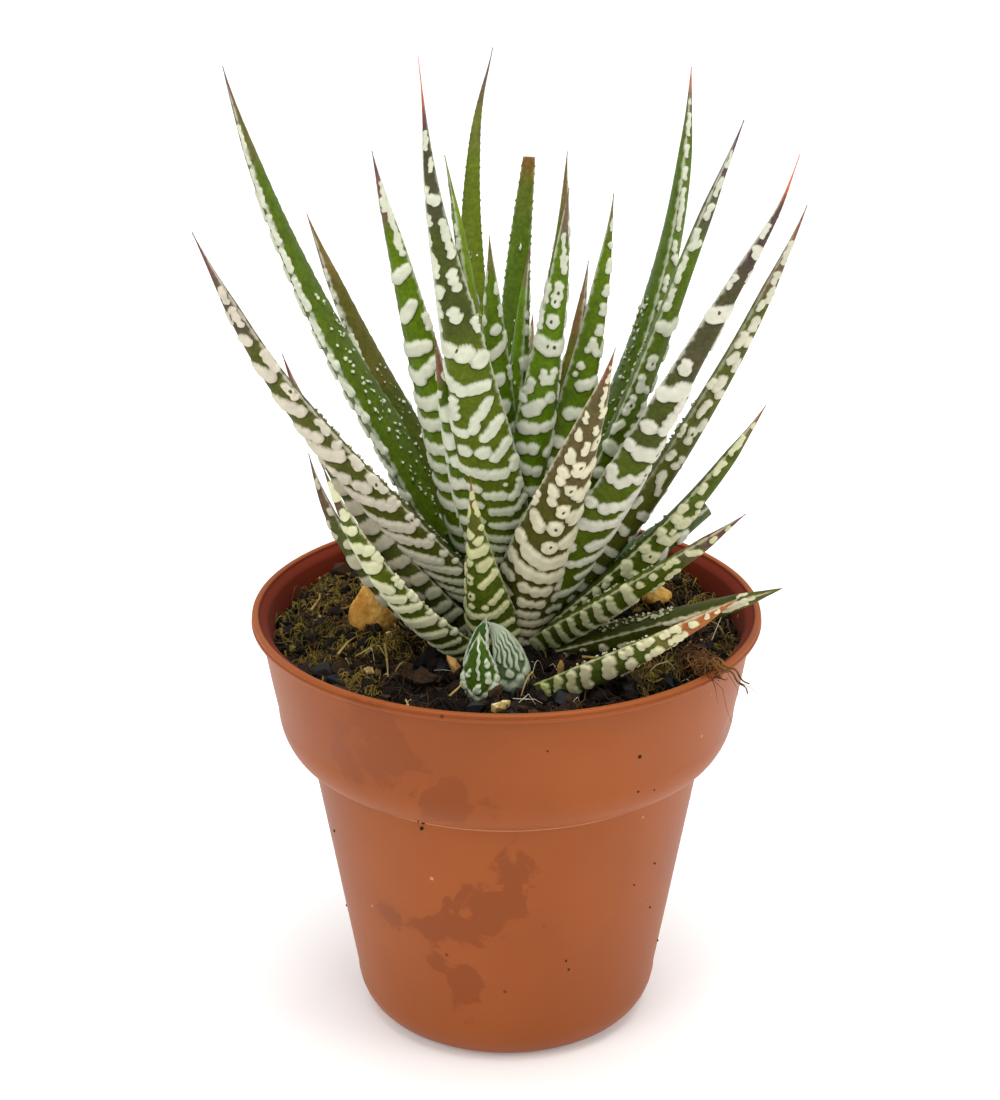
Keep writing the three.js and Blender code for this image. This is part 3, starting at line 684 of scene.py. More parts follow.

# ---------- leaves ----------
# Stiff fleshy leaves of a haworthia, keeled on the outside and nearly flat on the inside, on a
# short stem. White waxy spots stand out of the outer side: merged to bands low down, loose
# spots further up, and a thin pale line along each edge. Many tips are dried.

# Each leaf by its number. heading: direction in degrees from the viewer's right; lean: degrees from
# upright, at the foot and at the tip; sweep: sideways turn; twist: turn about its own line; foot:
# height on the stem; out: distance from its axis; bend: where the leaf leaves its even curve, as
# (share of the length, millimetres to the right, millimetres up); width: at the broadest; taper:
# how early it narrows; thick: share of the usual depth; keel: how far aside the keel lies; cut:
# share that is left; fine: spacing of its mesh. Then the spots. curl: how far they drop on the
# flanks; bold: how heavy the drawn ones are; whole: share of the leaf up to which bands are whole;
# hidden: the sides that the photograph doesn't show, with bars of their own; dots: small spots per
# millimetre inside; rail: strength of the pale edge line; toothed: height of its teeth. Then the
# colours: skin outside, inside, wax, shaded_foot_wax at the foot, and tips, dried from each share on.
# drawn: the spots that are laid out one by one, each as half its thickness and then the points
# that it runs through, as (share of the way from the keel to an edge, millimetres along the leaf);
# a pit is a dark dent.
# The wax at the foot is darker than higher up: painted shade deep in the rosette.
LEAVES = {
    1: dict(heading=30, lean=(1, 6), length=30, foot=57, out=0.9, width=5, skin="#506c0c",
        inside="#5c7a08"),
    2: dict(heading=160, lean=(2, 11), length=40.8, foot=56, out=1.9,
        bend=[(0.5, -0.1, 0), (1, -0.25, 0)], width=4.8, skin="#5c720c", inside="#6c8210",
        tips=[(0.86, "#6e7420"), (0.95, "#8a7a4a")]),
    3: dict(heading=256, lean=(11, 7), length=34, foot=57, out=2, width=5.8, curl=0.25,
        skin="#546e08", tips=[(0.86, "#6a6434")], drawn="""
        .3: -.8,30.4 -.8,28.7; .35: -.8,27.8 -.8,26.7; .5: -.7,25.2 -.7,24.5; .45: -.8,23.1 -.8,22.4;
        .3: .7,29 .8,28; .3: .8,26.6 .9,25.6; .6: .35,24; .35: 1,23.8 1,22.6; .6: -.9,21.2 0,21.2 .8,22.4;
        .75: -.5,18 .5,18.6; .4: 1,20 1,18.6; .75: -.3,15 .6,15.4; .5: -.9,15.6;
        .7: -.9,12.6 0,12.2 .9,13"""),
    4: dict(heading=55, lean=(10, 12), length=42, foot=54,
        bend=[(0.5, 0.9, 0), (0.8, 1.05, 0), (1, 0.2, 0)], width=5.6, skin="#50640e",
        tips=[(0.8, "#6e5c34")]),
    5: dict(heading=335, lean=(21, 4), twist=25, length=42, foot=53.5,
        bend=[(0.6, 0.05, 0), (1, 0.15, 0)], width=7.6, taper=0.9, curl=0.15, skin="#546c0a",
        tips=[(0.86, "#62602c"), (0.95, "#7a684c")], drawn="""
        .2: 0,39.8 0,38.2; .33: 0,36.9 0,36.5; .4: 0,35.2 0,34; .42: -.05,32.4 -.05,31.6;
        .45: -.1,30.4 -.1,29.4; .5: -.1,28.2 -.1,27.4; .4: -.5,25.4 -.3,26.5 -.1,25.2 .2,25 .35,26.4;
        .45: -.6,23.8; .35: -.7,22.8; .6: -.5,21.4 .1,22.2 .4,21.6; .7: -.6,18.4 .2,18.8; .4: .8,18.2;
        .3: 1,30 1,26.5; .3: .9,24.5 .9,22.5"""),
    6: dict(heading=302, lean=(12, 17), length=43.5, foot=54.5,
        bend=[(0.6, 0, 0), (0.75, -0.1, 0), (1, -1.15, 0)], width=6.8, curl=0.25, whole=0.5,
        skin="#547008", tips=[(0.84, "#6c5c48")], drawn="""
        .2: -.4,38.6 -.3,36.4; .18: .5,40 .5,37; .4: -.15,36 -.2,34.3; .5: -.35,33 -.4,30.6;
        pit: -.35,32 -.4,31; .6: -.4,29.2 -.4,28.3; pit: -.4,28.7; .3: .5,32.6 .5,31; .38: .5,29.4 .5,28;
        .3: -1,33 -1,31; .3: -1,30 -1,28; .9: -.9,26.7 -.4,25.6 .1,25.6 .6,25.8; pit: -.1,25.8 -.4,25.9;
        .4: -.4,23 -.3,21.7 -.1,21.7 .05,23.1; .5: -.75,22 -.85,20.6; .45: .8,23.4 .75,21.6; .6: -1,20;
        .75: -.75,18.2 -.3,19 .1,20.1; .4: .85,20.6 .75,19; .75: -.8,16.4 0,16.4 .8,17;
        .7: -.75,14 -.2,13.8; .7: .15,12.9 .8,15.2; .7: -1,12.6 -.4,11.3 0,10.9; .6: .4,10 .9,11.6;
        .65: -1,10 -.3,8.6 .3,8.4 1,10"""),
    7: dict(heading=26, lean=(18, 7), length=32, foot=53.5, width=5.2, skin="#62601a", inside="#6e6a24",
        tips=[(0.72, "#80603a")]),
    8: dict(heading=88, lean=(19, 26), sweep=-11, length=54, foot=52, bend=[(0.6, 0.2, 0), (0.8, 0.6, 0)],
        width=5.6, taper=0.9, cut=0.8, hidden=(-0.7, 0.7), rail=0.35, toothed=1, skin="#40560c",
        inside="#465c0a", tips=[(0.64, "#4e5a14"), (0.735, "#67481e"), (0.788, "#c8b07c")], drawn="""
        .28: -1.8,33.8 -1.8,32.9; .15: -1.8,31; .15: -1.85,30.2; .13: -1.8,29.3;
        .3: -1.9,27.6 -1.9,25.7"""),
    9: dict(heading=209, lean=(19, 9), twist=-34, length=49.3, foot=51.5, out=2.9,
        bend=[(0.25, 0.25, 0), (0.5, 0.3, 0), (0.75, 0.15, 0), (1, -0.45, 0)], width=7.2, curl=0.15,
        skin="#526a08", tips=[(0.82, "#6c4c44")], drawn="""
        .3: .8,46 .7,38.5; .18: -.7,46 -.7,43; .3: .2,44.4 .2,43.2; .62: -.7,35.9 0,36 .8,37.1;
        .4: .7,38.4 .6,40; .6: -.2,31.6 .3,32.6 .5,33.2; .45: .95,31.8 .9,30.2; .8: -.6,28.2 .7,28.5;
        .75: -.8,25.6 0,25 .8,26.6; .85: -.8,22.5 .9,22.2; .75: -.9,20.6 -.3,19.7 .9,19.6;
        .75: -.5,17 .9,16.8; .35: -1,18.4 -1,16.8; .65: -.8,15.4 -.2,14.5 .9,14.4;
        .6: -.7,13 0,12 .9,12.2; .6: -.7,10.8 0,9.7 .9,9.8"""),
    10: dict(heading=254, lean=(23, 22), sweep=-4, length=64.1, foot=53.5, bend=[(0.3, -0.3, 0),
        (0.5, -0.45, 0), (0.65, -0.8, 0), (0.78, -0.85, 0), (0.88, -0.35, 0), (1, 0.2, 0)], width=10,
        taper=1.34, keel=-0.42, fine=0.16, curl=0.4, skin="#52600e", tips=[(0.46, "#414a16"),
        (0.68, "#45432c"), (0.84, "#5c3c38"), (0.89, "#c0604a"), (0.96, "#e0a898")], drawn="""
        .3: -.9,56 -.9,50; .22: .3,56 .3,54; .22: .6,53 .6,51.6; .6: -.8,50 -.2,49.4; .6: .1,48.6 .7,48.2;
        .38: -.9,48 -.9,46; .42: -.95,45 -.95,31; .42: -.2,46.6 -.2,45.6; .4: -.4,44.4 -.4,43;
        .4: .7,46 .8,41.8; .45: -.2,42 -.1,39.4; .55: .55,40 .65,38; .5: -.3,36 -.2,34.6;
        .62: .3,35.4 .4,34.2; .4: -.5,33.4 -.4,32.6; .4: .95,34.4 .95,32.8; .5: 0,38 -.1,37;
        1: -.9,30.9 -.1,30.4 .4,29.9 .9,29.3; pit: .2,30.4; .7: -.8,28.6 -.2,26.6 .2,25.2 .85,26.2;
        pit: -.45,26.9 -.45,26.2; .62: -.1,24.3 -.1,21.8; .68: .8,24.3 .45,22;
        .55: -.55,22.3 -.2,20.2 .1,19.7 .28,20.2 .38,21.8; .68: .92,21.8 .44,19; .66: -.05,17.5 .12,17.3;
        .68: .32,17.3 .44,17.3; .6: .95,19 .55,16.4; .4: -.7,18.2;
        .64: -.6,16.4 0,14.7 .3,14.3 .66,14.4 .88,15.3 1,16.6; .5: -.95,14.6 -.4,13 .12,12.3;
        .24: .62,12.9; .56: .18,11.4 .55,11.4; .5: .68,11.1; .5: .8,11.4 .95,13.6;
        .5: -.95,12.4 -.4,10.8 .1,10; .55: .2,9.2 .62,9.2; .5: .72,9.4 .97,11.2;
        .5: -.95,10 -.3,8.2 .05,7.8; .5: .15,7.2 .64,7.2; .45: .7,7.4 1,9;
        .48: -.95,7.8 -.2,5.9 .5,5.3 1,6.8; .45: -.95,5.8 0,3.9 1,4.8; .45: -.95,3.8 0,2.2 1,3.2"""),
    11: dict(heading=106, lean=(34, 31), sweep=-26, length=58, foot=52,
        bend=[(0.3, -0.1, 0), (0.7, -0.5, 0), (0.88, -0.2, 0), (1, 1.1, 0)], width=5.6, taper=0.9,
        hidden=(-0.6, 0.6), rail=0.0, toothed=0.7, skin="#425a08", inside="#505e08",
        tips=[(0.76, "#585c20"), (0.86, "#5c4c34"), (0.95, "#6a5a50")], drawn="""
        .2: .9,24 .9,22"""),
    12: dict(heading=237, lean=(27, 12), length=32.5, foot=51.3, width=5.8, skin="#4a600e",
        tips=[(0.8, "#7a5644")]),
    13: dict(heading=150, lean=(39, 22), length=43.2, foot=50.5, bend=[(0.5, -0.05, 0), (1, -0.2, 0)],
        width=7.5, hidden=(-1, 0.1), dots=1.8, skin="#46540e", inside="#424c0c",
        tips=[(0.5, "#54501a"), (0.8, "#6c5a2c"), (0.95, "#7e4c34")], drawn="""
        .25: .85,37 .85,35.8; .42: .8,34.8 .8,33.8; .42: .8,32.8 .85,31.8; .35: .8,30.8;
        .3: 1,29.5 1,26.5; .3: 1,25.5 1,23.5; .25: 1,22.5 1,21; .5: .3,30; .5: .3,26.4 .6,26"""),
    14: dict(heading=168, lean=(40, 13), twist=8, length=61.2, foot=50.5, bend=[(0.05, -0.9, 0),
        (0.13, -0.8, 0), (0.22, 0, 0), (0.3, 0.5, 0), (0.5, 0.35, 0), (1, -0.15, 0)], width=8.4,
        thick=0.8, bold=1.3, whole=0.1, hidden=(-1, 0), dots=2.0, skin="#44540e", inside="#4a5e0c",
        tips=[(0.8, "#5e5a2c"), (0.9, "#684c3c"), (0.95, "#584a44")], drawn="""
        .22: .9,55 .85,51; .28: .85,50.4 .9,46.4; .3: .4,48 .35,45; .33: .85,45.4 .9,42.4;
        .35: .35,43.4 .4,41.6; .36: .9,41.8 .95,39.2; .36: .4,39.8 .35,38.2; .4: .9,38.4 .95,34.9;
        .38: .35,36.9 .4,34.4; .42: .85,33.8 .9,30.8; .4: .3,32.4 .35,30.6; .48: .85,29.6 .95,28.2;
        .45: .3,28.6 .4,27; .5: .8,27 .95,25; .5: .3,25 .5,23.6; .5: .85,23.4 .95,21.8;
        .5: .3,21.8 .5,20.2; .5: .8,20 1,17.8; .45: .4,18.4 .5,17; .5: .6,16.6 .9,15.2; .45: .2,15 .4,14;
        .45: .7,13 1,12; .45: .3,12.4 .5,11; .45: .7,10 1,9; .4: .3,9.4 .5,8.4"""),
    15: dict(heading=58, lean=(50, 36), length=24, foot=50, width=6.5, fine=0.3, skin="#465a10"),
    16: dict(heading=120, lean=(50, 38), length=26, foot=49.5, width=6.8, fine=0.3, skin="#465a10"),
    17: dict(heading=12, lean=(31, 2), length=60, foot=48.3,
        bend=[(0.2, -0.5, 0), (0.45, 0, 0), (0.7, 0.15, 0), (0.85, 0, 0), (1, -0.3, 0)], width=8.2,
        whole=0.25, hidden=(0.2, 1), dots=2.6, skin="#4e640c", inside="#4a600c",
        tips=[(0.86, "#5c5a28"), (0.93, "#a8583a"), (0.98, "#b88a70")], drawn="""
        .22: -.8,57 -.8,56.2; .25: -.8,55.2 -.75,53; .28: -.8,52 -.8,50.8; .34: -.75,49.7 -.75,48.6;
        .36: -.7,47.5 -.7,43.2; .4: -.7,41.9 -.7,41; .48: -.6,40.3 -.2,39.6; .4: -.75,38.3 -.75,36.7;
        .4: -.75,35.4 -.75,34.6; .4: 0,37 0,34; .5: -.7,32.5 -.6,31; .5: -.5,28; .5: -.8,25 -.7,23.6;
        .5: -.3,22 0,20.6; .5: -.9,20 -.9,18.8; .6: -.8,16 -.4,15.8; .6: -.3,13 .3,13.6;
        .6: -.9,11.6 -.3,10.8; .6: -.8,8.6 .4,8.2"""),
    18: dict(heading=206, lean=(45, 24), length=55.8, foot=47.4,
        bend=[(0.1, 0.5, 0.4), (0.3, 0.5, 0.4), (0.45, 0.3, 0.2), (0.7, -0.3, 0), (1, 0, 0)], width=9.2,
        taper=0.92, fine=0.16, hidden=(-1, -0.6), skin="#4a4e14", wax="#ccc4b0",
        tips=[(0.74, "#544a38"), (0.88, "#6e4a44")], drawn="""
        .7: -.4,40.4 0,40 .5,38.4; .5: .9,41.4 .9,39; .6: .1,43.6 .5,42.8; .42: .6,47 .6,44.9;
        .36: .5,49.4 .5,47.7; .3: 0,46.6 0,45.4; .7: -.5,36.4 0,35.8 .65,33.5; .45: .75,37 .85,35.2;
        pit: .8,36.2; .72: -.5,32.6 0,31.8 .55,30; .4: .9,32 .9,30.2; .85: -.4,30 0,29.2 .4,27.8 .7,27;
        .55: .72,27.4 .88,28.8; .5: .95,26.6 .9,25; .75: -.3,26.2 0,25.6 .3,24.2; .75: .42,23.4 .65,22.2;
        .5: .95,23.6 .95,21.2; pit: .95,22.4; .75: -.3,23.6 0,22.5 .45,20.6 .82,19; .45: .95,20 .95,19;
        .7: -.3,19.6 .1,18.4 .45,16.9 .78,15.6; .5: .95,17.2 .95,15.8; pit: .95,16.6;
        .65: -.3,17.2 .1,16 .5,14.3 .85,12.9; .4: .98,13.6; .55: -.2,14.6 .15,13 .5,11.3 .75,10.1;
        .5: .9,11; .5: -.2,12.6 .1,11.4 .5,9.6 .85,8; .4: .98,9.4; .5: -.2,10.6 .1,9.4 .5,7.4 .85,6;
        .45: -.2,8.6 .1,7.4 .5,5.6 .85,4.3; .45: -.2,6.6 .2,5.2 .85,2.4"""),
    19: dict(heading=84, lean=(54, 42), length=36, foot=47, width=7.4, fine=0.3, skin="#465a10"),
    20: dict(heading=350, lean=(27, 16), length=59.4, foot=46.5,
        bend=[(0.4, -0.5, 0), (0.75, -1.05, 0), (0.9, -0.8, 0), (1, -0.3, 0)], width=7.2, whole=0.3,
        hidden=(0.3, 1), skin="#50640c", tips=[(0.76, "#525038"), (0.86, "#5c4c48")], drawn="""
        .22: -.5,57 -.5,54.4; .3: -.5,53.2 -.5,51.4; .36: -.5,50.4 -.6,48.9;
        .36: -.8,47.6 -.8,45.6 -.3,46.4; .34: -.9,44.6 -.9,41.8; .38: -.85,41 -.9,38.6;
        .8: -.9,36.8 -.4,36.6 .1,37.4; .4: .1,34.6 .1,33; .55: -.55,33.2 -.6,32.1; pit: -.57,32.6;
        .5: -.75,31 -.65,29.6 -.3,29.6; .45: 0,31 .1,29.4; .5: -.75,28.6 -.8,26.6; pit: -.77,27.6;
        .45: -.15,28 -.2,26.4; .45: -.8,25.6 -.95,24.2; .5: -.2,25.2 -.4,24; .65: -1,22.8 -.6,22 -.3,22.8;
        .45: .1,23 0,22; .65: -.9,19.4 -.3,19.2; .6: -.9,16.8 -.2,16.4 .3,17; .6: -.9,14.2 0,13.8;
        .6: -.9,11.6 .2,11.2; .55: -.9,9 .3,8.8; .5: -.9,6.6 .3,6.4"""),
    21: dict(heading=322, lean=(35, 24), twist=12, length=66, foot=45.2, bend=[(0.4, -0.2, 0),
        (0.6, -0.55, 0), (0.78, -0.25, 0), (0.9, 0.35, 0), (0.95, 0.35, 0), (1, -0.5, 0)], width=8.9,
        taper=1.05, fine=0.16, curl=0.2, hidden=(0.5, 1), skin="#4c5a10", wax="#d0cebc",
        tips=[(0.4, "#434a16"), (0.56, "#48442a"), (0.76, "#4c4038"), (0.84, "#52403a"), (0.9, "#c0623e"),
        (0.97, "#d89880")], drawn="""
        .3: -.8,58 -.7,56.6; .5: -.5,55.4 -.1,54.4; .3: .2,53 .2,51.4; .3: -.8,52 -.8,50.4;
        .9: -.9,47 -.3,47.4 .2,48.2; pit: -.5,47.6; pit: .1,46.6; .3: .4,46 .3,43;
        .65: -.55,41.2 -.55,40.1; .9: -.9,36.8 -.45,37.2 -.05,38.2; .7: .1,37.6 .1,35.2; pit: .1,37;
        .85: -.65,32.6; .7: 0,34.6 -.15,32.2; .8: -.95,30 -.45,29.2 -.1,29.2; .6: .2,31 .1,29.4 0,28.5;
        pit: .05,29.3; .6: -.95,26.8 -.78,25.2 -.5,24.8 -.3,26; .6: -.1,25.4 .1,27.5; pit: 0,26.5;
        .4: .4,25.6 .3,24; .78: -.95,21.5 -.5,21.2 -.05,22.1 .25,24;
        .65: -.95,18.5 -.5,18.6 0,19.6 .3,21.4; .6: -.95,15.4 -.6,15.2; .6: -.3,15.6 .1,17 .35,18.6;
        .55: -.95,12.7 -.4,12.8 .3,15.4; .5: -.95,10.2 -.4,10.4; .5: -.1,11 .3,12.8;
        .5: -.95,8 -.3,8 .3,10; .45: -.95,6 0,6.2; .45: -.9,4 0,4"""),
    22: dict(heading=342, lean=(43, 17), length=57.8, foot=44.8,
        bend=[(0.3, -0.5, 0), (0.6, -0.9, 0), (0.85, -0.6, 0), (1, -0.05, 0)], width=7.2, whole=0.2,
        hidden=(0.1, 1), rail=0.5, skin="#4e5218", wax="#cccab2",
        tips=[(0.8, "#66563c"), (0.9, "#7e5440")], drawn="""
        .2: -.4,56.6 -.4,55.4; .34: -.45,53.8 -.45,51.5; .45: -.3,50.4 -.6,49.3; .4: -.35,48.8 -.2,47.3;
        .33: -.6,47.2 -.7,46.2; .5: -.4,45.3 -.5,44.1; .42: -.7,43.4 -.8,41.9; .48: -.3,43.1 -.3,42.3;
        .44: -.8,40 -.55,40.9 -.3,40.3 -.3,39.2; .52: -.55,38.2 -.65,36.8 -.25,36.1;
        .33: -.95,37.8 -.95,36.7; .42: -.6,35.2 -.7,33.3; .5: -.3,33 -.35,31.9; .58: -.55,31.7 -.55,30.1;
        pit: -.52,31.2; .28: -.95,32 -.95,30.5; .45: -.8,28.7 -.8,27.7; .48: -.3,28.1 -.45,26.9;
        .45: -.7,26 -.6,24.8 -.4,23.3; .4: -.8,22.3 -.9,20.9; .55: -.5,20.4 -.2,20; .5: -.9,18.2 -.5,17.6;
        .5: -.2,17 .2,17; .5: -.9,15 -.3,14.6; .5: -.8,12.4 -.1,12"""),
    23: dict(heading=294, lean=(26, 30), sweep=3, twist=22, length=44.4, foot=44.2,
        bend=[(0.4, 0.2, 0), (0.65, 0.6, 0), (0.85, 0.75, 0), (1, 0.35, 0)], width=9.6, taper=0.95,
        fine=0.15, curl=0.45, bold=1.3, skin="#4c4a1a", wax="#d8d2b4", shaded_foot_wax="#bcb294",
        tips=[(0.5, "#5a4e2c"), (0.86, "#7c4e38")], drawn="""
        .8: -.95,17.7 -.5,15.4 0,14.3 .5,15 .95,17.3; .74: -.95,14.8 -.5,13 0,12.1 .5,12.5 .95,14.4;
        .58: -.95,12.4 -.6,11.2; .6: -.32,10.5 0,10 .3,10.1; .58: .55,10.7 .95,12.5; .5: -.95,10 -.5,8.8;
        .52: -.25,8.2 .25,8.1; .5: .5,8.9 .95,10.6; .42: -.95,8 -.45,6.9; .42: -.2,6.4 .2,6.4;
        .42: .45,7 .95,8.6; .42: -.95,6.3 -.4,5.3 0,4.9 .45,5.5 .95,6.8; .42: -.95,4.6 0,3.4 .95,5;
        .42: -.95,3 0,1.9 .95,3.2; .68: 0,16.9 0,16.6; pit: 0,16.9; .68: 0,19.7 0,19.3; pit: 0,19.5;
        .6: .05,22.5 .05,21.6; pit: .03,22; .55: .05,25.4 .05,24.8; pit: .05,25.1; .48: .05,28.7 .05,27.4;
        pit: .05,28.4; .3: .05,31.9 .05,30.2; .8: -.8,20.7 -.4,19; .35: -.97,23.6 -.95,22;
        .62: -.52,24.6 -.4,22.7; .62: -.5,27.6 -.4,25.7; .5: -.45,30.2 -.45,28.8; .45: -.55,33 -.5,31.9;
        .35: -.6,35.4 -.55,34.4; .82: .35,17.4 .65,17.9 .95,19.4; .75: .3,21.4 .6,20.9 .95,22.2;
        .65: .3,24.6 .6,24.1 .95,25.9; .62: .35,27.4 .95,29; .55: .5,31 .9,32.3; pit: .7,31.9 .8,30.9;
        .3: .2,34 .4,33; .5: .5,35.4 .85,36.2; .26: .25,39.3 .2,37 .4,35.9; .24: .35,40.9 .35,39.9;
        .22: .3,42 .3,41.6"""),
    24: dict(heading=254, lean=(35, 11), length=27, foot=42.5, out=3, width=8, taper=1.1, keel=-0.34,
        fine=0.14, curl=0.4, bold=0.95, skin="#4c5a14", wax="#c8c896", shaded_foot_wax="#b2ae90",
        tips=[(0.66, "#565a1c"), (0.84, "#8a5440")], drawn="""
        .45: -.6,25 -.6,24.4; .42: .6,25 .6,24.4; .36: .9,24 .9,22.4; .45: -.6,23.4 -.6,21.7;
        .38: .9,21.2 .9,20.8; .62: -.5,20.6 -.15,19.9; .64: .35,19.2 .55,19.4;
        .72: -.7,18.5 0,17.7 .8,18.3; .74: .35,15.7 .8,16.8; .56: -.12,16.4; .5: -.15,14.7 -.1,13.8;
        pit: -.12,14.2; .52: -.08,12.1 -.08,11.8; pit: -.08,12; .5: -.8,16 -.6,14.6;
        .42: -.85,13.6 -.7,12; .58: .25,13.3 .95,15.4; .48: .5,11.1 .95,12.8; .42: .28,10.4;
        .4: -.15,10.5; .42: -.8,11 -.6,10.2; .56: -.9,9.9 0,9.1 .5,9.4 .95,10.8; .5: -.9,7.8 0,7 .9,8.2;
        .45: -.9,6 0,5.2 .9,6.2"""),
    # leaf 25 lies in the shade of leaves 18 and 26: its greyer wax is painted shade
    25: dict(heading=199, lean=(47, 17), length=41, foot=44, width=6.6, skin="#4a5020", wax="#bfb79e",
        tips=[(0.8, "#7a5044")]),
    26: dict(heading=228, lean=(58, 22), sweep=2, length=39.5, foot=41.5, width=6, fine=0.15,
        hidden=(-1, -0.5), skin="#4a5610", wax="#cfcfa8", shaded_foot_wax="#8c9a5c", tips=[(0.8, "#5e4a38")],
        drawn="""
        .4: .4,37.4 .4,36; .5: .2,35.6 .7,35.2; .45: .5,33.6 .5,32.6; .5: -.2,31.6 -.1,31.2;
        .58: .45,31.2 .45,30.6; .66: -.4,29 .2,28.4 .8,27.4; .85: -.7,26.9 0,25.5 .6,25.2;
        .5: .9,26.6 .95,25.6; .62: -.2,23.4 .45,21.2; .4: .9,22.6 .9,21; .55: -.2,20.7 .6,19.3;
        .45: .95,19.6 .95,18.4; .55: -.3,18.7 .9,17.3; .72: -.4,15.9 .3,15.2 .85,14.5; .38: .95,15.6;
        .62: -.3,12.9 .75,11.7; .48: .95,13; .52: .95,10.8; .45: -.2,10.1 .85,9.2; .45: -.2,8.2 .9,7.2;
        .42: -.3,6.4 .9,5.4; .42: -.3,4.6 .9,3.6"""),
    27: dict(heading=205, lean=(62, 12), sweep=1, length=34, foot=42, width=5, skin="#4a5224",
        wax="#b8b49a", tips=[(0.75, "#5a4636")]),
    28: dict(heading=339, lean=(51, 29), length=40, foot=43, bend=[(0.3, -0.1, 0.15), (1, -0.05, 0.2)],
        width=7.2, fine=0.16, hidden=(0.35, 1), skin="#48560e", wax="#cccca4", shaded_foot_wax="#a0a870",
        tips=[(0.84, "#645c3c"), (0.91, "#7e4e3c")], drawn="""
        .25: -.6,38.8 -.6,37.2; .33: -.8,36 -.8,33.6; .33: -.8,32.6 -.85,30.9; .4: -.8,29.4 -.8,28.2;
        .42: -.3,27.2 -.3,26.8; .45: -.9,26.2 -.85,25.2; .7: -.85,24.6 -.45,24 -.15,24.5; .4: 0,26 0,25;
        .62: -.95,22.4 -.6,21.5 -.15,21.4 -.05,22.4; .3: -.5,23 -.45,22.4;
        .72: -.95,19.8 -.5,18.8 -.15,19; pit: -.5,19; .6: -.95,17.2 -.7,15.9 -.25,15.9;
        .48: -.95,14.4 -.8,13.2; .5: -.5,14 -.4,12.4 0,12; .44: -.95,12.4 -.5,11 -.1,10.5;
        .42: -.95,10.6 -.4,9.2 0,8.9; .4: -.95,8.8 -.4,7.5 0,7.1; .4: -.95,7 -.4,5.8 0,5.4;
        .38: -.95,5.4 -.3,4.1 0,3.8; .38: -.95,3.8 0,2.2; .42: .15,11.5 .1,9.5; .42: .15,8.6 .1,6.4;
        .4: .15,5.5 .1,3.5"""),
    29: dict(heading=325, lean=(57, 47), sweep=-1, length=34, foot=43, bend=[(0.5, 0, 0.5), (1, 0, 0.65)],
        width=6.4, fine=0.16, hidden=(0.35, 1), skin="#4a560e", wax="#c6c69a", shaded_foot_wax="#a0a872",
        tips=[(0.7, "#5e5640"), (0.8, "#5e3c3a")], drawn="""
        .22: -.5,31.7 -.5,31; .33: -.5,29.6 -.5,28.8; .42: -.8,25.8 -.3,27; .36: -.8,24.3 -.8,22.5;
        .33: -.2,23.4 -.2,21.5; .5: -.7,20.7; .5: -.7,18.7; .3: 0,20.5 0,18.6;
        .6: -.95,17.4 -.4,16.4 0,16; .48: -.95,15 -.5,14 0,13.5; .46: -.95,13.1 -.5,12.1 0,11.6;
        .44: -.95,11.2 -.5,10.2 0,9.7; .44: -.95,9.3 -.5,8.3 0,7.8; .42: -.95,7.4 0,5.9;
        .42: -.95,5.5 0,4; .36: .1,15 .1,5"""),
    30: dict(heading=342, lean=(70, 64), length=30, foot=41.5, width=7, taper=0.65, hidden=(0.2, 1),
        dots=6, skin="#4c5614", inside="#3c4208", wax="#d0caaa", tips=[(0.85, "#50500f")], drawn="""
        .28: -.6,26 -.6,23.2; .33: -.5,22 -.5,18.6; .22: -.95,27 -.95,22; .22: -.95,21 -.95,17;
        .36: -.5,17.4 -.5,14.8; .3: -1.5,26.2 -1.5,25.4; .4: -.5,13 -.5,11; .45: -.8,9.6 0,9;
        .45: -.8,7.4 0,6.8; .45: -.8,5.2 0,4.6"""),
    31: dict(heading=17, lean=(66, 51), sweep=-2, length=38.5, foot=44.3,
        bend=[(0.3, 0, 0), (0.6, -0.2, 1), (1, -0.2, 1.2)], width=7.6, cut=0.6, dots=3, skin="#3c5214",
        inside="#2c480c", tips=[(0.56, "#5a4a20"), (0.595, "#8e6a3e")]),
    32: dict(heading=52, lean=(78, 70), length=29, foot=43.5, width=7.2, fine=0.3),
    33: dict(heading=70, lean=(71, 58), length=36, foot=43, width=7.4, fine=0.3),
    34: dict(heading=100, lean=(74, 62), length=35, foot=43, width=7.2, fine=0.3),
    35: dict(heading=130, lean=(72, 60), length=36, foot=43.5, width=7.4, fine=0.3),
}  # fmt: skip
for number, leaf in LEAVES.items():
    leaf["name"] = f"leaf_{number:02d}"

# what a leaf has where its own entry says nothing
USUAL = dict(
    sweep=0, twist=0, out=2.6, bend=[(1, 0, 0)], taper=0.8, thick=1, keel=0, clasp=0.18, cut=1.0, fine=0.2,
    curl=0.0, bold=1.1, whole=0.4, dots=1.6, rail=0.9, toothed=0.3, skin="#4c600c", wax="#ced1ba",
    shaded_foot_wax="#c0c4a6", tips=[(0.84, "#6e6040"), (0.93, "#7e4a3c")],
)  # fmt: skip
CROWN = (0.0, 0.5)  # where the stem's axis stands


def between(low, high, share):
    """The value at a share of the way from low to high."""
    return low + (high - low) * share


def eased(low, high, value):
    """0 at low and 1 at high, with a soft start and end."""
    share = np.clip((value - low) / (high - low), 0, 1)
    return share * share * (3 - 2 * share)


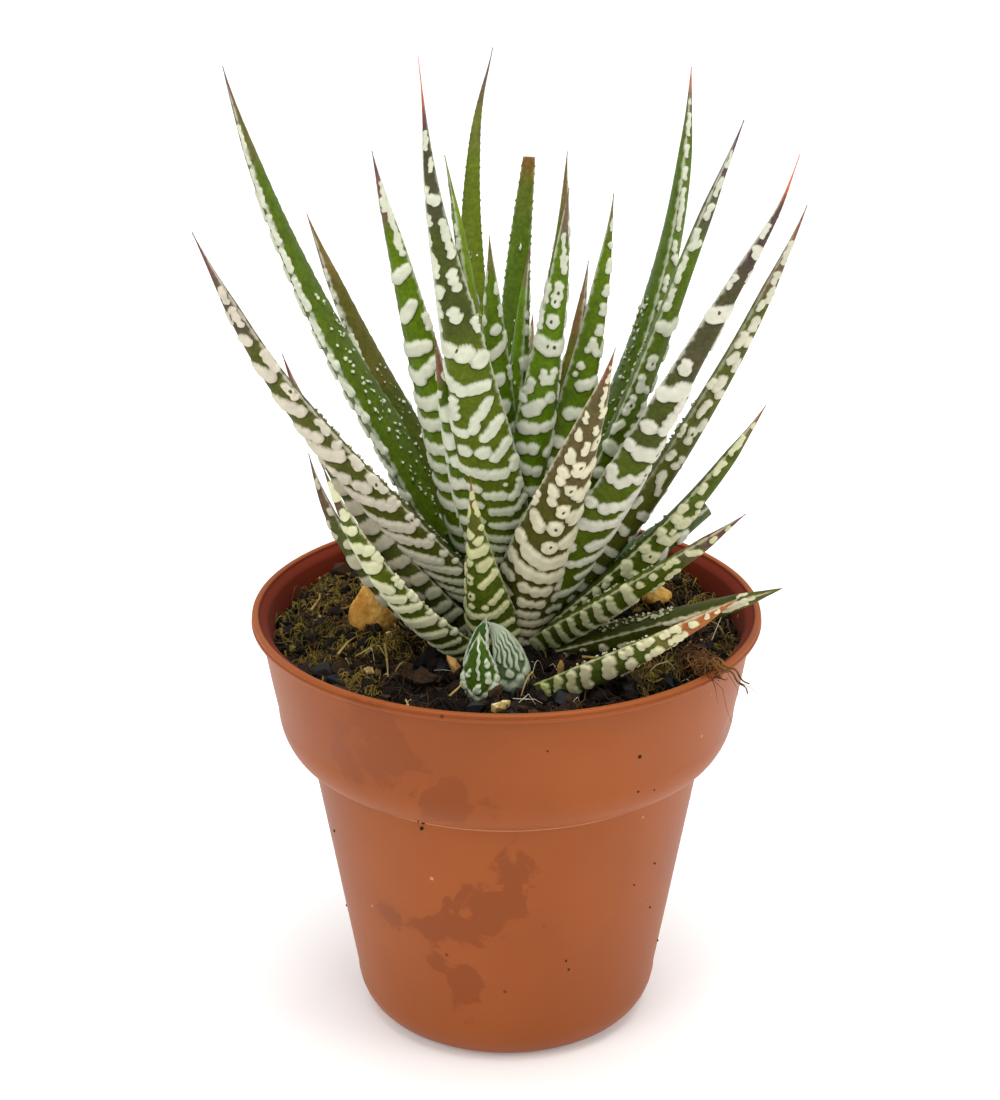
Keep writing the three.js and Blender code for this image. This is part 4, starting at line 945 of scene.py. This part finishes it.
def leaf_course(leaf, shares):
    """Places on a leaf's centre line, with the directions across and outwards."""
    steps = 600
    rounding = 81  # steps over which the bends are rounded
    middles = (np.arange(steps) + 0.5) / steps
    twist = math.radians(leaf["twist"])

    def directions(share):
        heading = np.radians(leaf["heading"] + leaf["sweep"] * share)
        lean = np.radians(between(leaf["lean"][0], leaf["lean"][1], share))
        east, north = np.cos(heading), np.sin(heading)
        along = np.stack([np.sin(lean) * east, np.sin(lean) * north, np.cos(lean)], -1)
        across = np.stack([-north, east, 0 * lean], -1)
        outward = np.stack([np.cos(lean) * east, np.cos(lean) * north, -np.sin(lean)], -1)
        turned_across = across * math.cos(twist) + outward * math.sin(twist)
        return along, turned_across, outward * math.cos(twist) - across * math.sin(twist)

    heading = math.radians(leaf["heading"])
    out = leaf["out"]
    on_stem = (CROWN[0] + out * math.cos(heading), CROWN[1] + out * math.sin(heading))
    foot = np.array([*leaf.get("at", on_stem), leaf["foot"]])
    steps_along = directions(middles)[0] * leaf["length"] / steps
    line = np.vstack([foot, foot + np.cumsum(steps_along, axis=0)])
    marks = np.arange(steps + 1) / steps
    knots = [(0, 0, 0), *leaf["bend"]]
    for axis, column in ((0, 1), (2, 2)):  # to the right, and up
        reach = np.arange(-(rounding // 2), steps + 1 + rounding // 2) / steps
        offset = np.interp(reach, [k[0] for k in knots], [k[column] for k in knots])
        line[:, axis] += np.convolve(offset, np.full(rounding, 1 / rounding), "valid")
    places = np.stack([np.interp(shares, marks, line[:, i]) for i in range(3)], -1)
    return places, *directions(shares)[1:]


# pieces that a row of wax is broken into, each from start to end between the edges at -1 and 1
LOW_ROWS = [
    [(-0.95, 0.95)], [(-0.95, -0.1), (0.16, 0.95)], [(-0.95, 0.3), (0.55, 0.95)],
    [(-0.95, -0.5), (-0.2, 0.95)],
]  # fmt: skip
HIGH_ROWS = [
    [(-0.95, -0.2), (0.15, 0.95)], [(-0.95, -0.5), (-0.1, 0.2), (0.6, 0.95)], [(-0.75, -0.4), (0.1, 0.9)],
    [(-0.9, 0.1), (0.6, 0.9)],
]  # fmt: skip
PIT_SIZE = 0.17


def spots_over(arc, rows, spots, pits):
    """How deep each point lies in the spots (over 0), how far up in them, and in their pits."""
    sharp = 5.0
    total = np.full(arc.shape, 1e-5)
    upward = np.zeros(arc.shape)
    pitted = np.zeros(arc.shape)
    for centre, place, size in spots:
        first, last = np.searchsorted(rows, [place - 2.2 * size, place + 2.2 * size])
        above = (rows[first:last, None] - place) / size
        weight = np.exp(-sharp * (((arc[first:last] - centre) / size) ** 2 + above**2))
        total[first:last] += weight
        upward[first:last] += weight * above
    for centre, place, size in pits:
        first, last = np.searchsorted(rows, [place - 3 * size, place + 3 * size])
        aside = (arc[first:last] - centre) / size
        above = (rows[first:last, None] - place) / (1.5 * size)
        pitted[first:last] = np.maximum(pitted[first:last], np.exp(-(aside**2 + above**2)))
    return 1 + np.log(total) / sharp, np.clip(0.5 + 0.6 * upward / total, 0, 1), pitted


def beads_along(points, size, luck):
    """Round spots that touch, in a row through points of (arc, place): one band, bar or oval."""
    beads = []
    if len(points) > 1:  # the last beads stand back from the ends, which they round off
        points = list(points)
        for end, inner in ((0, 1), (-1, -2)):
            back = min(0.4, 0.4 * size / max(math.dist(points[end], points[inner]), 0.01))
            points[end] = tuple(between(a, b, back) for a, b in zip(points[end], points[inner]))
    for start, end in zip(points, points[1:]):
        count = max(1, round(math.dist(start, end) / (1.2 * size)))
        for i in range(count):
            beads.append((between(start[0], end[0], i / count), between(start[1], end[1], i / count)))
    beads.append(points[-1])
    return [(
        arc + luck.uniform(-0.07, 0.07) * size, place + luck.uniform(-0.1, 0.1) * size,
        size * luck.uniform(0.88, 1.14),
    ) for arc, place in beads]  # fmt: skip


def half_round(arc_at, place):
    """Half the way round the outer side, from edge to edge."""
    return 0.5 * (arc_at(1, place) - arc_at(-1, place))


def drawn_spots(leaf, arc_at, luck):
    """The spots that are laid out one by one in the leaf's own text."""
    spots, pits = [], []
    for stroke in leaf["drawn"].split(";"):
        kind, _, course = stroke.strip().partition(":")
        points = []
        for point in course.split():
            side, place = [float(number) for number in point.split(",")]
            drop = leaf["curl"] * half_round(arc_at, place) * abs(side) ** 1.6
            points.append((arc_at(side, place), place - drop))
        if kind == "pit":
            pits += [(arc, place, PIT_SIZE) for arc, place in points]
        else:
            spots += beads_along(points, float(kind) * leaf["bold"], luck)
    return spots, pits


def wax_rows(leaf, arc_at, luck, top):
    """Rows of wax across the outer side, from the foot up to top: bands, then pieces, then ovals."""
    spots = []
    place = 0.7
    row = 0
    while place < top:
        row += 1
        share = place / leaf["length"]
        reach = half_round(arc_at, place)
        pitch = between(1.9, 3.4, share**0.8) * luck.uniform(0.9, 1.12)
        size = 0.29 * pitch
        slant = luck.uniform(-0.25, 0.25)
        smile = luck.uniform(0.3, 0.8)
        if luck.random() < eased(leaf["whole"] + 0.22, leaf["whole"] - 0.08, share):
            pieces = luck.choice(LOW_ROWS)
        elif reach > 1.6:
            pieces = luck.choice(HIGH_ROWS)
            size *= 1.1
        else:
            pieces = []
            for number, side in enumerate((-0.7, 0.0, 0.72) if reach > 0.9 else (-0.5, 0.5)):
                stagger = place + pitch * (0.25 if (number + row) % 2 else -0.25)
                arc = arc_at(side, stagger)
                oval = [(arc, stagger), (arc, stagger + luck.uniform(0.4, 1.1))]
                spots += beads_along(oval, min(0.5, 0.3 * reach), luck)
        for start, end in pieces:
            tilt = luck.uniform(-0.3, 0.3)
            points = []
            for side in (start, 0.5 * (start + end), end):
                height = place + smile * side**2 + slant * side + tilt * (side - start)
                points.append((arc_at(side, height), height))
            spots += beads_along(points, size, luck)
        place += pitch
    return spots


def hidden_bars(leaf, arc_at, luck, place, length):
    """Bars of wax on the sides that the photograph doesn't show, from place up to the tip."""
    low, high = leaf["hidden"]
    spots = []
    while place < 0.9 * length:
        middle = between(low, high, luck.uniform(0.25, 0.75))
        half = luck.uniform(0.05, 0.35) * (high - low) * (1.1 - place / length)
        bar = [(middle - half, place), (middle + half, place + luck.uniform(-0.3, 0.3))]
        size = between(0.5, 0.25, place / length)
        spots += beads_along([(arc_at(side, height), height) for side, height in bar], size, luck)
        place += luck.uniform(1.2, 2.0)
    return spots


def waxy_spots(leaf, arc_at, luck):
    """The spots of one leaf, as (arc from the keel, place along, size), and its pits."""
    length = leaf["length"] * leaf["cut"]
    spots, pits = drawn_spots(leaf, arc_at, luck) if "drawn" in leaf else ([], [])
    top = min(place - 1.3 * size for _arc, place, size in spots) if spots else 0.93 * length
    spots += wax_rows(leaf, arc_at, luck, top)
    if "hidden" in leaf:
        spots += hidden_bars(leaf, arc_at, luck, top, length)
    for _ in range(int(length * leaf["dots"])):  # small ones on the inner side
        place = luck.uniform(0.04, 0.62) ** 1.1 * length
        side = luck.choice([-1, 1]) * luck.uniform(1.35, 1.9)
        spots.append((arc_at(side, place), place, luck.uniform(0.12, 0.25)))
    return spots, pits


def leaf_colours(leaf, shares, side_out):
    """Skin colour down the leaf, with its dried tip, and the colour of the wax, at each point."""
    outside = np.array(linear(leaf["skin"]))
    inside = np.array(linear(leaf.get("inside", leaf["skin"])))
    skin = between(inside, outside, side_out[..., None])
    for start, code in leaf["tips"]:
        dried = eased(start, min(start + 0.06, 1.0), shares)[:, None, None]
        skin = between(skin, np.array(linear(code)), dried)
    # the wax is darker towards the foot: painted shade deep in the rosette
    wax_high = np.array(linear(leaf["wax"]))
    shaded_foot_wax = np.array(linear(leaf["shaded_foot_wax"]))
    wax = between(shaded_foot_wax, wax_high, eased(0.03, 0.3, shares)[:, None, None]) + 0 * skin
    return skin, wax


def flat_grid(name, rows, around):
    """A flat mesh of squares, and which row and column each of its corners belongs to."""
    grid = bmesh.new()
    bmesh.ops.create_grid(grid, x_segments=around, y_segments=rows, size=0.5)
    mesh = bpy.data.meshes.new(name)
    grid.to_mesh(mesh)
    grid.free()
    flat = np.empty(len(mesh.vertices) * 3)
    mesh.vertices.foreach_get("co", flat)
    flat = flat.reshape(-1, 3)
    column = np.rint((flat[:, 0] + 0.5) * around).astype(int)
    row = np.rint((flat[:, 1] + 0.5) * rows).astype(int)
    return mesh, row, column


def leaf_section(leaf, shares, draw_in, around):
    """The section in each row, which starts in the middle of the inner side and goes once round.

    Gives half the width, what lies on the outer side, each point's way across and outwards and
    its arc from the keel, and the arcs from the keel to the two edges.
    """
    turn = np.linspace(0, 1, around + 1)
    outer_part, inner_part = 0.33, 0.17  # shares of the section that each half of a side takes up
    bow = 1.36  # the points stand closer together towards the edges
    from_middle = turn - 0.5
    outer = np.abs(from_middle) < outer_part
    side = np.where(
        outer,
        np.sin(from_middle / outer_part * bow) / math.sin(bow),
        np.where(turn < 0.5, -1, 1) * (1 - (np.abs(from_middle) - outer_part) / inner_part),
    )
    side = np.clip(side, -1, 1)[None, :]
    from_tip = 1 - shares
    clasp = 1 - leaf["clasp"] * eased(0.7, 1, from_tip)  # narrower where it clasps the stem
    needle = between(0.62, 1, eased(0, 0.2, from_tip))  # drawn out into a fine tip
    half = np.maximum(0.5 * leaf["width"] * from_tip ** leaf["taper"] * clasp * needle, 0.05)
    depth = np.maximum(2 * half * between(0.36, 0.5, shares), 0.07) * leaf["thick"]
    roundness = between(2.3, 1.3, shares)[:, None]  # round at the foot, keeled towards the tip
    rounding = np.minimum(0.24, 0.3 * half)[:, None] * np.sqrt(np.maximum(1 - side**2, 0))
    keel_side = leaf["keel"] * eased(0.0, 0.35, shares)[:, None]
    from_keel = np.abs(side - keel_side) / np.where(side > keel_side, 1 - keel_side, 1 + keel_side)
    outer_bulge = depth[:, None] * (1 - from_keel**roundness) + rounding
    inner_bulge = -0.12 * depth[:, None] * (1 - side**2) - rounding
    high = np.where(outer[None, :], outer_bulge, inner_bulge)
    across_mm = half[:, None] * side * draw_in[:, None]
    out_mm = (high - 0.42 * depth[:, None]) * draw_in[:, None]
    pace = np.hypot(np.diff(across_mm, axis=1), np.diff(out_mm, axis=1))
    arc = np.concatenate([np.zeros((len(shares), 1)), np.cumsum(pace, axis=1)], axis=1)
    left_edge, right_edge = np.flatnonzero(outer)[[0, -1]]
    keel_arc = np.array([
        np.interp(keel, side[0, left_edge : right_edge + 1], line[left_edge : right_edge + 1])
        for keel, line in zip(keel_side[:, 0], arc)
    ])  # fmt: skip
    arc = arc - keel_arc[:, None]
    return half, outer, across_mm, out_mm, arc, {-1: -arc[:, left_edge], 1: arc[:, right_edge]}


def leaf_shape(leaf, luck):
    """The closed mesh of one leaf, with its spots raised and marked."""
    cut = leaf["cut"]
    rows = int(leaf["length"] * cut / leaf["fine"])
    around = 2 * int(round(leaf["width"] * 1.15 / leaf["fine"]))
    mesh, row, column = flat_grid(leaf["name"] + "_shape", rows + 4, around)
    # the ends are closed by rows that draw in to the centre line
    body = np.linspace(0, cut, rows + 1)
    shares = np.concatenate([[0, 0], body, [cut, cut]])
    draw_in = np.concatenate([[0.0, 0.6], np.ones(rows + 1), [0.7 if cut < 1 else 0.5, 0.0]])
    half, outer, across_mm, out_mm, arc, reaches = leaf_section(leaf, shares, draw_in, around)
    length_mm = shares * leaf["length"]

    def arc_at(aside, place):
        """Arc of a point that lies a share of the way from the keel to an edge."""
        reach = float(np.interp(place, length_mm[2:-2], reaches[1 if aside > 0 else -1][2:-2]))
        return aside * reach

    spots, pits = leaf.get("pattern", waxy_spots)(leaf, arc_at, luck)
    wave = [luck.uniform(0, 6.28) for _ in range(4)]
    rows_mm = length_mm[:, None]
    # the spots' outlines wander a little, and so does the scalloped pale line along each edge
    wavy_arc = arc + 0.07 * np.sin(2.6 * rows_mm + 1.7 * arc + wave[0])
    wavy_arc = wavy_arc + 0.06 * np.sin(6.1 * rows_mm - 4 * arc + wave[1])
    in_spot, up_spot, pitted = spots_over(wavy_arc, length_mm, spots, pits)
    calm = 1 - eased(0.93, 0.98, shares) if cut == 1 else np.ones(len(shares))
    in_spot = in_spot - 3 * (1 - calm)[:, None]
    scallop = 0.15 + 0.08 * np.sin(3.1 * rows_mm + wave[2]) + 0.05 * np.sin(7.3 * rows_mm + wave[3])
    off_edge = np.abs(np.where(arc < 0, -arc - reaches[-1][:, None], arc - reaches[1][:, None]))
    near_edge = np.exp(-((off_edge / np.minimum(scallop, 0.2 * half[:, None] + 0.03)) ** 2))
    rail = near_edge * leaf["rail"] * calm[:, None]
    height = np.minimum(0.27, 0.13 * half + 0.03)[:, None]
    swell = height * eased(-0.08, between(0.4, 1.05, up_spot), in_spot)
    teeth = np.maximum(np.sin(6.6 * rows_mm + wave[2]) + 0.4 * np.sin(15 * rows_mm + wave[3]), 0) ** 2
    slender = np.minimum(1, half)[:, None]  # under 1 where the leaf is narrow
    ridge = 0.35 * height * leaf["rail"] + 0.1 * leaf["toothed"] * teeth * slender
    swell = np.maximum(swell, near_edge * calm[:, None] * ridge)
    swell = swell - 0.13 * pitted * slender

    places, across, outward = leaf_course(leaf, shares)
    slope_out, slope_across = np.gradient(out_mm, axis=1), np.gradient(across_mm, axis=1)
    size = np.hypot(slope_out, slope_across) + 1e-9
    across_mm = across_mm - slope_out / size * swell * draw_in[:, None]
    out_mm = out_mm + slope_across / size * swell * draw_in[:, None]
    points = places[:, None, :] + across[:, None, :] * across_mm[..., None]
    points = points + outward[:, None, :] * out_mm[..., None]
    points[:, -1] = points[:, 0]
    mesh.vertices.foreach_set("co", (points[row, column] * MM).ravel())

    side_out = np.where(outer, 1.0, 0.0)[None, :] + 0 * arc
    skin, wax = leaf_colours(leaf, shares, side_out)
    over_leaf = np.stack([arc, rows_mm + 0 * arc, 0 * arc], -1) * MM
    for name, kind, field, values in [
        ("in_spot", "FLOAT", "value", in_spot), ("up_spot", "FLOAT", "value", up_spot),
        ("pit", "FLOAT", "value", pitted), ("edge_line", "FLOAT", "value", rail),
        ("over_leaf", "FLOAT_VECTOR", "vector", over_leaf),
        ("skin_colour", "FLOAT_COLOR", "color", skin), ("wax_colour", "FLOAT_COLOR", "color", wax),
    ]:  # fmt: skip
        layer = mesh.attributes.new(name, kind, "POINT")
        layer.data.foreach_set(field, values[row, column].astype(np.float32).ravel())
    closed = bmesh.new()
    closed.from_mesh(mesh)
    bpy.data.meshes.remove(mesh)
    bmesh.ops.remove_doubles(closed, verts=closed.verts, dist=2e-6)
    bmesh.ops.recalc_face_normals(closed, faces=closed.faces)
    return closed


# Living leaf: satin green skin with fine papillae, and dull, slightly grainy wax on the spots;
# the wax ends sharply below and thins out in fine streaks into the green above.
leaf_skin, leaf_shader = new_material("haworthia_leaf_skin")
coords = add_node(leaf_skin, "TexCoord", {}, "Object")
skin_colour, wax_colour, over_leaf, in_spot, up_spot, pit_depth, edge_line = [
    add_node(leaf_skin, "Attribute", {}, out, attribute_name=name)
    for name, out in [
        ("skin_colour", "Color"), ("wax_colour", "Color"), ("over_leaf", "Vector"), ("in_spot", "Fac"),
        ("up_spot", "Fac"), ("pit", "Fac"), ("edge_line", "Fac"),
    ]
]  # fmt: skip
mottle = add_node(leaf_skin, "TexNoise", {  # patches of about 1.3 mm
    "Vector": coords, "Scale": 750.0, "Detail": 4.0, "Roughness": 0.6,
})  # fmt: skip
papillae = add_node(leaf_skin, "TexNoise", {"Vector": coords, "Scale": 2600.0, "Detail": 2.0})  # 0.4 mm
combed = add_node(leaf_skin, "Mapping", {"Vector": over_leaf, "Scale": (5200.0, 900.0, 1.0)})
streaks = add_node(leaf_skin, "TexNoise", {"Vector": combed, "Scale": 1.0, "Detail": 2.0})  # 0.2 by 1 mm
# green skin: lighter and darker patches, and painted shade on the green just below each band
patch_light = add_node(leaf_skin, "MapRange", {
    "Value": mottle, "From Min": 0.3, "From Max": 0.7, "To Min": 0.8, "To Max": 1.2,
})  # fmt: skip
grain_light = add_node(leaf_skin, "MapRange", {
    "Value": papillae, "From Min": 0.35, "From Max": 0.7, "To Min": 0.88, "To Max": 1.25,
})  # fmt: skip
near_wax = add_node(leaf_skin, "MapRange", {
    "Value": in_spot, "From Min": -0.9, "From Max": -0.05, "To Min": 1.0, "To Max": 0.6,
}, interpolation_type="SMOOTHSTEP")  # fmt: skip
under_wax = add_node(leaf_skin, "MapRange", {
    "Value": up_spot, "From Min": 0.2, "From Max": 0.6, "To Min": 1.0, "To Max": 0.0,
})  # fmt: skip
shade = add_node(leaf_skin, "Mix", {0: under_wax, 2: 1.0, 3: near_wax}, data_type="FLOAT")
skin_light = patch_light
for light in (grain_light, shade):
    skin_light = add_node(leaf_skin, "Math", {0: skin_light, 1: light}, operation="MULTIPLY")
skin_mottled = add_node(leaf_skin, "VectorMath", {0: skin_colour, "Scale": skin_light}, operation="SCALE")
wax_light = add_node(leaf_skin, "MapRange", {
    "Value": mottle, "From Min": 0.3, "From Max": 0.7, "To Min": 0.84, "To Max": 1.1,
})  # fmt: skip
wax_mottled = add_node(leaf_skin, "VectorMath", {0: wax_colour, "Scale": wax_light}, operation="SCALE")
# wax: sharp below, and above it thins out in streaks
upper_side = add_node(leaf_skin, "MapRange", {
    "Value": up_spot, "From Min": 0.5, "From Max": 0.85,
}, interpolation_type="SMOOTHSTEP")  # fmt: skip
fade_start = add_node(leaf_skin, "MapRange", {"Value": upper_side, "To Min": -0.06, "To Max": -0.3})
fade_end = add_node(leaf_skin, "MapRange", {"Value": upper_side, "To Min": 0.08, "To Max": 0.42})
ragged = add_node(leaf_skin, "MapRange", {
    "Value": streaks, "From Min": 0.25, "From Max": 0.75, "To Min": -0.5, "To Max": 0.5,
})  # fmt: skip
ragged_edge = add_node(leaf_skin, "Math", {0: ragged, 1: fade_end, 2: in_spot}, operation="MULTIPLY_ADD")
band_share = add_node(leaf_skin, "MapRange", {
    "Value": ragged_edge, "From Min": fade_start, "From Max": fade_end,
}, interpolation_type="SMOOTHSTEP")  # fmt: skip
wax_share = add_node(leaf_skin, "Math", {0: band_share, 1: edge_line}, operation="MAXIMUM")
wax_depth = add_node(leaf_skin, "MapRange", {
    "Value": in_spot, "From Min": 0.0, "From Max": 0.55, "To Min": 0.74, "To Max": 1.0,
})  # fmt: skip
wax_cover = add_node(leaf_skin, "Math", {0: wax_share, 1: wax_depth}, operation="MULTIPLY")
pit_share = add_node(leaf_skin, "MapRange", {"Value": pit_depth, "From Min": 0.3, "From Max": 0.6})
leaf_colour = skin_mottled
for share, colour in ((wax_cover, wax_mottled), (pit_share, linear("#4c4a30"))):
    both = {0: share, 6: leaf_colour, 7: colour}
    leaf_colour = add_node(leaf_skin, "Mix", both, 2, data_type="RGBA")
relief = add_node(leaf_skin, "Math", {0: papillae, 1: 0.4, 2: wax_share}, operation="MULTIPLY_ADD")
feed(leaf_skin, leaf_shader, {
    "Base Color": leaf_colour,
    "Roughness": add_node(leaf_skin, "MapRange", {"Value": wax_share, "To Min": 0.46, "To Max": 0.66}),
    "Normal": add_node(leaf_skin, "Bump", {"Height": relief, "Strength": 0.55, "Distance": 0.12 * MM}),
    "IOR": 1.42, "Specular IOR Level": 0.15,
})  # fmt: skip


def grow_leaf(leaf, seed):
    """One leaf of the rosette or of the shoot, in place of its solid."""
    shape = leaf_shape({**USUAL, **leaf}, random.Random(seed))
    piece = new_piece("haworthia_" + leaf["name"], shape, leaf_skin)
    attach(piece, "root")
    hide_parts(leaf["name"])


for number, leaf in LEAVES.items():
    grow_leaf(leaf, 99 + number)

# ---------- young shoot ----------
# Three short bulbous leaves and one longer banded leaf that come up beside the rosette. The
# short ones are streaked with pale wax from the tip down and swollen white at the foot.


def streaked(leaf, arc_at, luck):
    """Pale streaks from the tip that widen downwards, a few spots, and a white swollen foot."""
    length = leaf["length"]
    spots = []
    for side in leaf["streaks"]:
        place = luck.uniform(0.3, 0.5) * length
        while place < 0.97 * length:
            spots.append((arc_at(side, place), place, 0.11 + 0.03 * abs(arc_at(1, place))))
            place += 0.2
    for side, share, size in leaf["spots"]:
        place = share * length
        spots.append((arc_at(side, place), place, size))
    return spots, []


SHOOT = [
    dict(name="shoot_leaf_1", at=(-3, -12.1), heading=205, lean=(8, -22), length=8.4, foot=43, width=5.8,
        clasp=0.3, fine=0.1, skin="#2f4c16", inside="#1c4208", wax="#b4bea6", shaded_foot_wax="#a4b094",
        tips=[(0.9, "#94a080")], pattern=streaked, streaks=(-0.95, -0.7, -0.45, -0.2, 0.95),
        spots=[(-0.6, 0.2, 0.6), (0.0, 0.12, 0.7), (0.6, 0.2, 0.6)]),
    dict(name="shoot_leaf_2", at=(0.4, -12.2), heading=318, lean=(26, -76), length=8.8, foot=43,
        width=6.4, clasp=0.4, fine=0.1, skin="#4c6238", inside="#244a14", wax="#a6b098",
        shaded_foot_wax="#858f76", tips=[(0.9, "#a8b49c")], pattern=streaked,
        streaks=(-1.0, -0.8, -0.6, -0.4, -0.2, 0.0, 0.25, 0.5, 0.75, 1.0), spots=[(-0.8, 0.14, 1.0),
        (-0.3, 0.12, 1.1), (0.3, 0.14, 1.1), (0.8, 0.12, 1.0), (0.6, 0.32, 0.9), (0.1, 0.3, 0.5),
        (-0.5, 0.32, 0.5), (-0.15, 0.24, 0.6), (0.3, 0.34, 0.6)]),
    dict(name="shoot_leaf_3", at=(-2.8, -14.6), heading=265, lean=(16, -12), length=7.8, foot=43.2,
        width=5.2, clasp=0.5, fine=0.1, skin="#3e5a14", inside="#3c5a14", wax="#c4ccb2",
        shaded_foot_wax="#b0b8a0", tips=[(0.86, "#a8b070")], pattern=streaked, streaks=(-1.0, 0.0, 1.0),
        spots=[(-0.5, 0.48, 0.28), (-0.53, 0.42, 0.32), (0.5, 0.62, 0.3), (0.52, 0.56, 0.36),
        (0.48, 0.42, 0.45), (0.42, 0.36, 0.45), (0.0, 0.3, 0.34), (-0.04, 0.24, 0.45), (-0.85, 0.36, 0.5),
        (-0.75, 0.24, 0.7), (-0.5, 0.12, 0.8), (-0.2, 0.05, 0.7), (0.9, 0.34, 0.5), (0.7, 0.22, 0.8),
        (0.45, 0.1, 0.85)]),
    dict(name="shoot_leaf_4", at=(4.2, -13.6), heading=340, lean=(61, 51), twist=26, length=24.4,
        foot=43.5, width=6, fine=0.14, curl=0.2, skin="#4c5a1c", inside="#48560e", wax="#cfcaa2",
        shaded_foot_wax="#a8b070", tips=[(0.55, "#66602a"), (0.68, "#98582e"), (0.95, "#a88a68")], drawn="""
        .22: -.6,22 -.6,21.5; .28: -.6,20.8 -.6,20.4; .36: -.6,19.3 -.6,18.7; .38: -.85,17.6 -.85,15.6;
        .42: -.85,14.6 -.85,13; .5: -.85,12 -.8,10.8; .38: -.3,17.6 -.3,15.6; .46: -.25,14.4 -.2,12.6;
        .6: -.4,11.2 -.2,10.6; .3: .35,16 .35,13; .34: .35,12 .35,10.6; .7: -.85,9.6 -.5,8.5 -.2,8.1;
        .3: .2,10 .2,8.6; .55: -.9,7 -.5,5.8 -.2,5.4; .52: -.9,5.2 -.5,4 -.1,3.6; .5: -.9,3.5 -.5,2.3 0,2;
        .45: -.9,1.8 0,.5"""),
]  # fmt: skip
for number, leaf in enumerate(SHOOT):
    grow_leaf(leaf, 300 + number)

# ---------- stem ----------
# The short pale stem that the leaves clasp, almost hidden between them.

stem_skin = mottled("pale_stem_skin", "#6a6a3c", "#9a9664", 300.0, 0.7)
stem_shape = bmesh.new()
bmesh.ops.create_cone(
    stem_shape, cap_ends=True, segments=48, radius1=2.4 * MM, radius2=1.6 * MM, depth=23 * MM,
    matrix=Matrix.Translation((0, 0.5 * MM, 44.5 * MM)),
)  # fmt: skip
rims = [edge for edge in stem_shape.edges if len({round(v.co.z, 6) for v in edge.verts}) == 1]
bmesh.ops.bevel(stem_shape, geom=rims, offset=0.3 * MM, segments=3, profile=0.5, affect="EDGES", material=-1)
stem = new_piece("haworthia_stem", stem_shape, stem_skin)
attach(stem, "root")
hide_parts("stem")
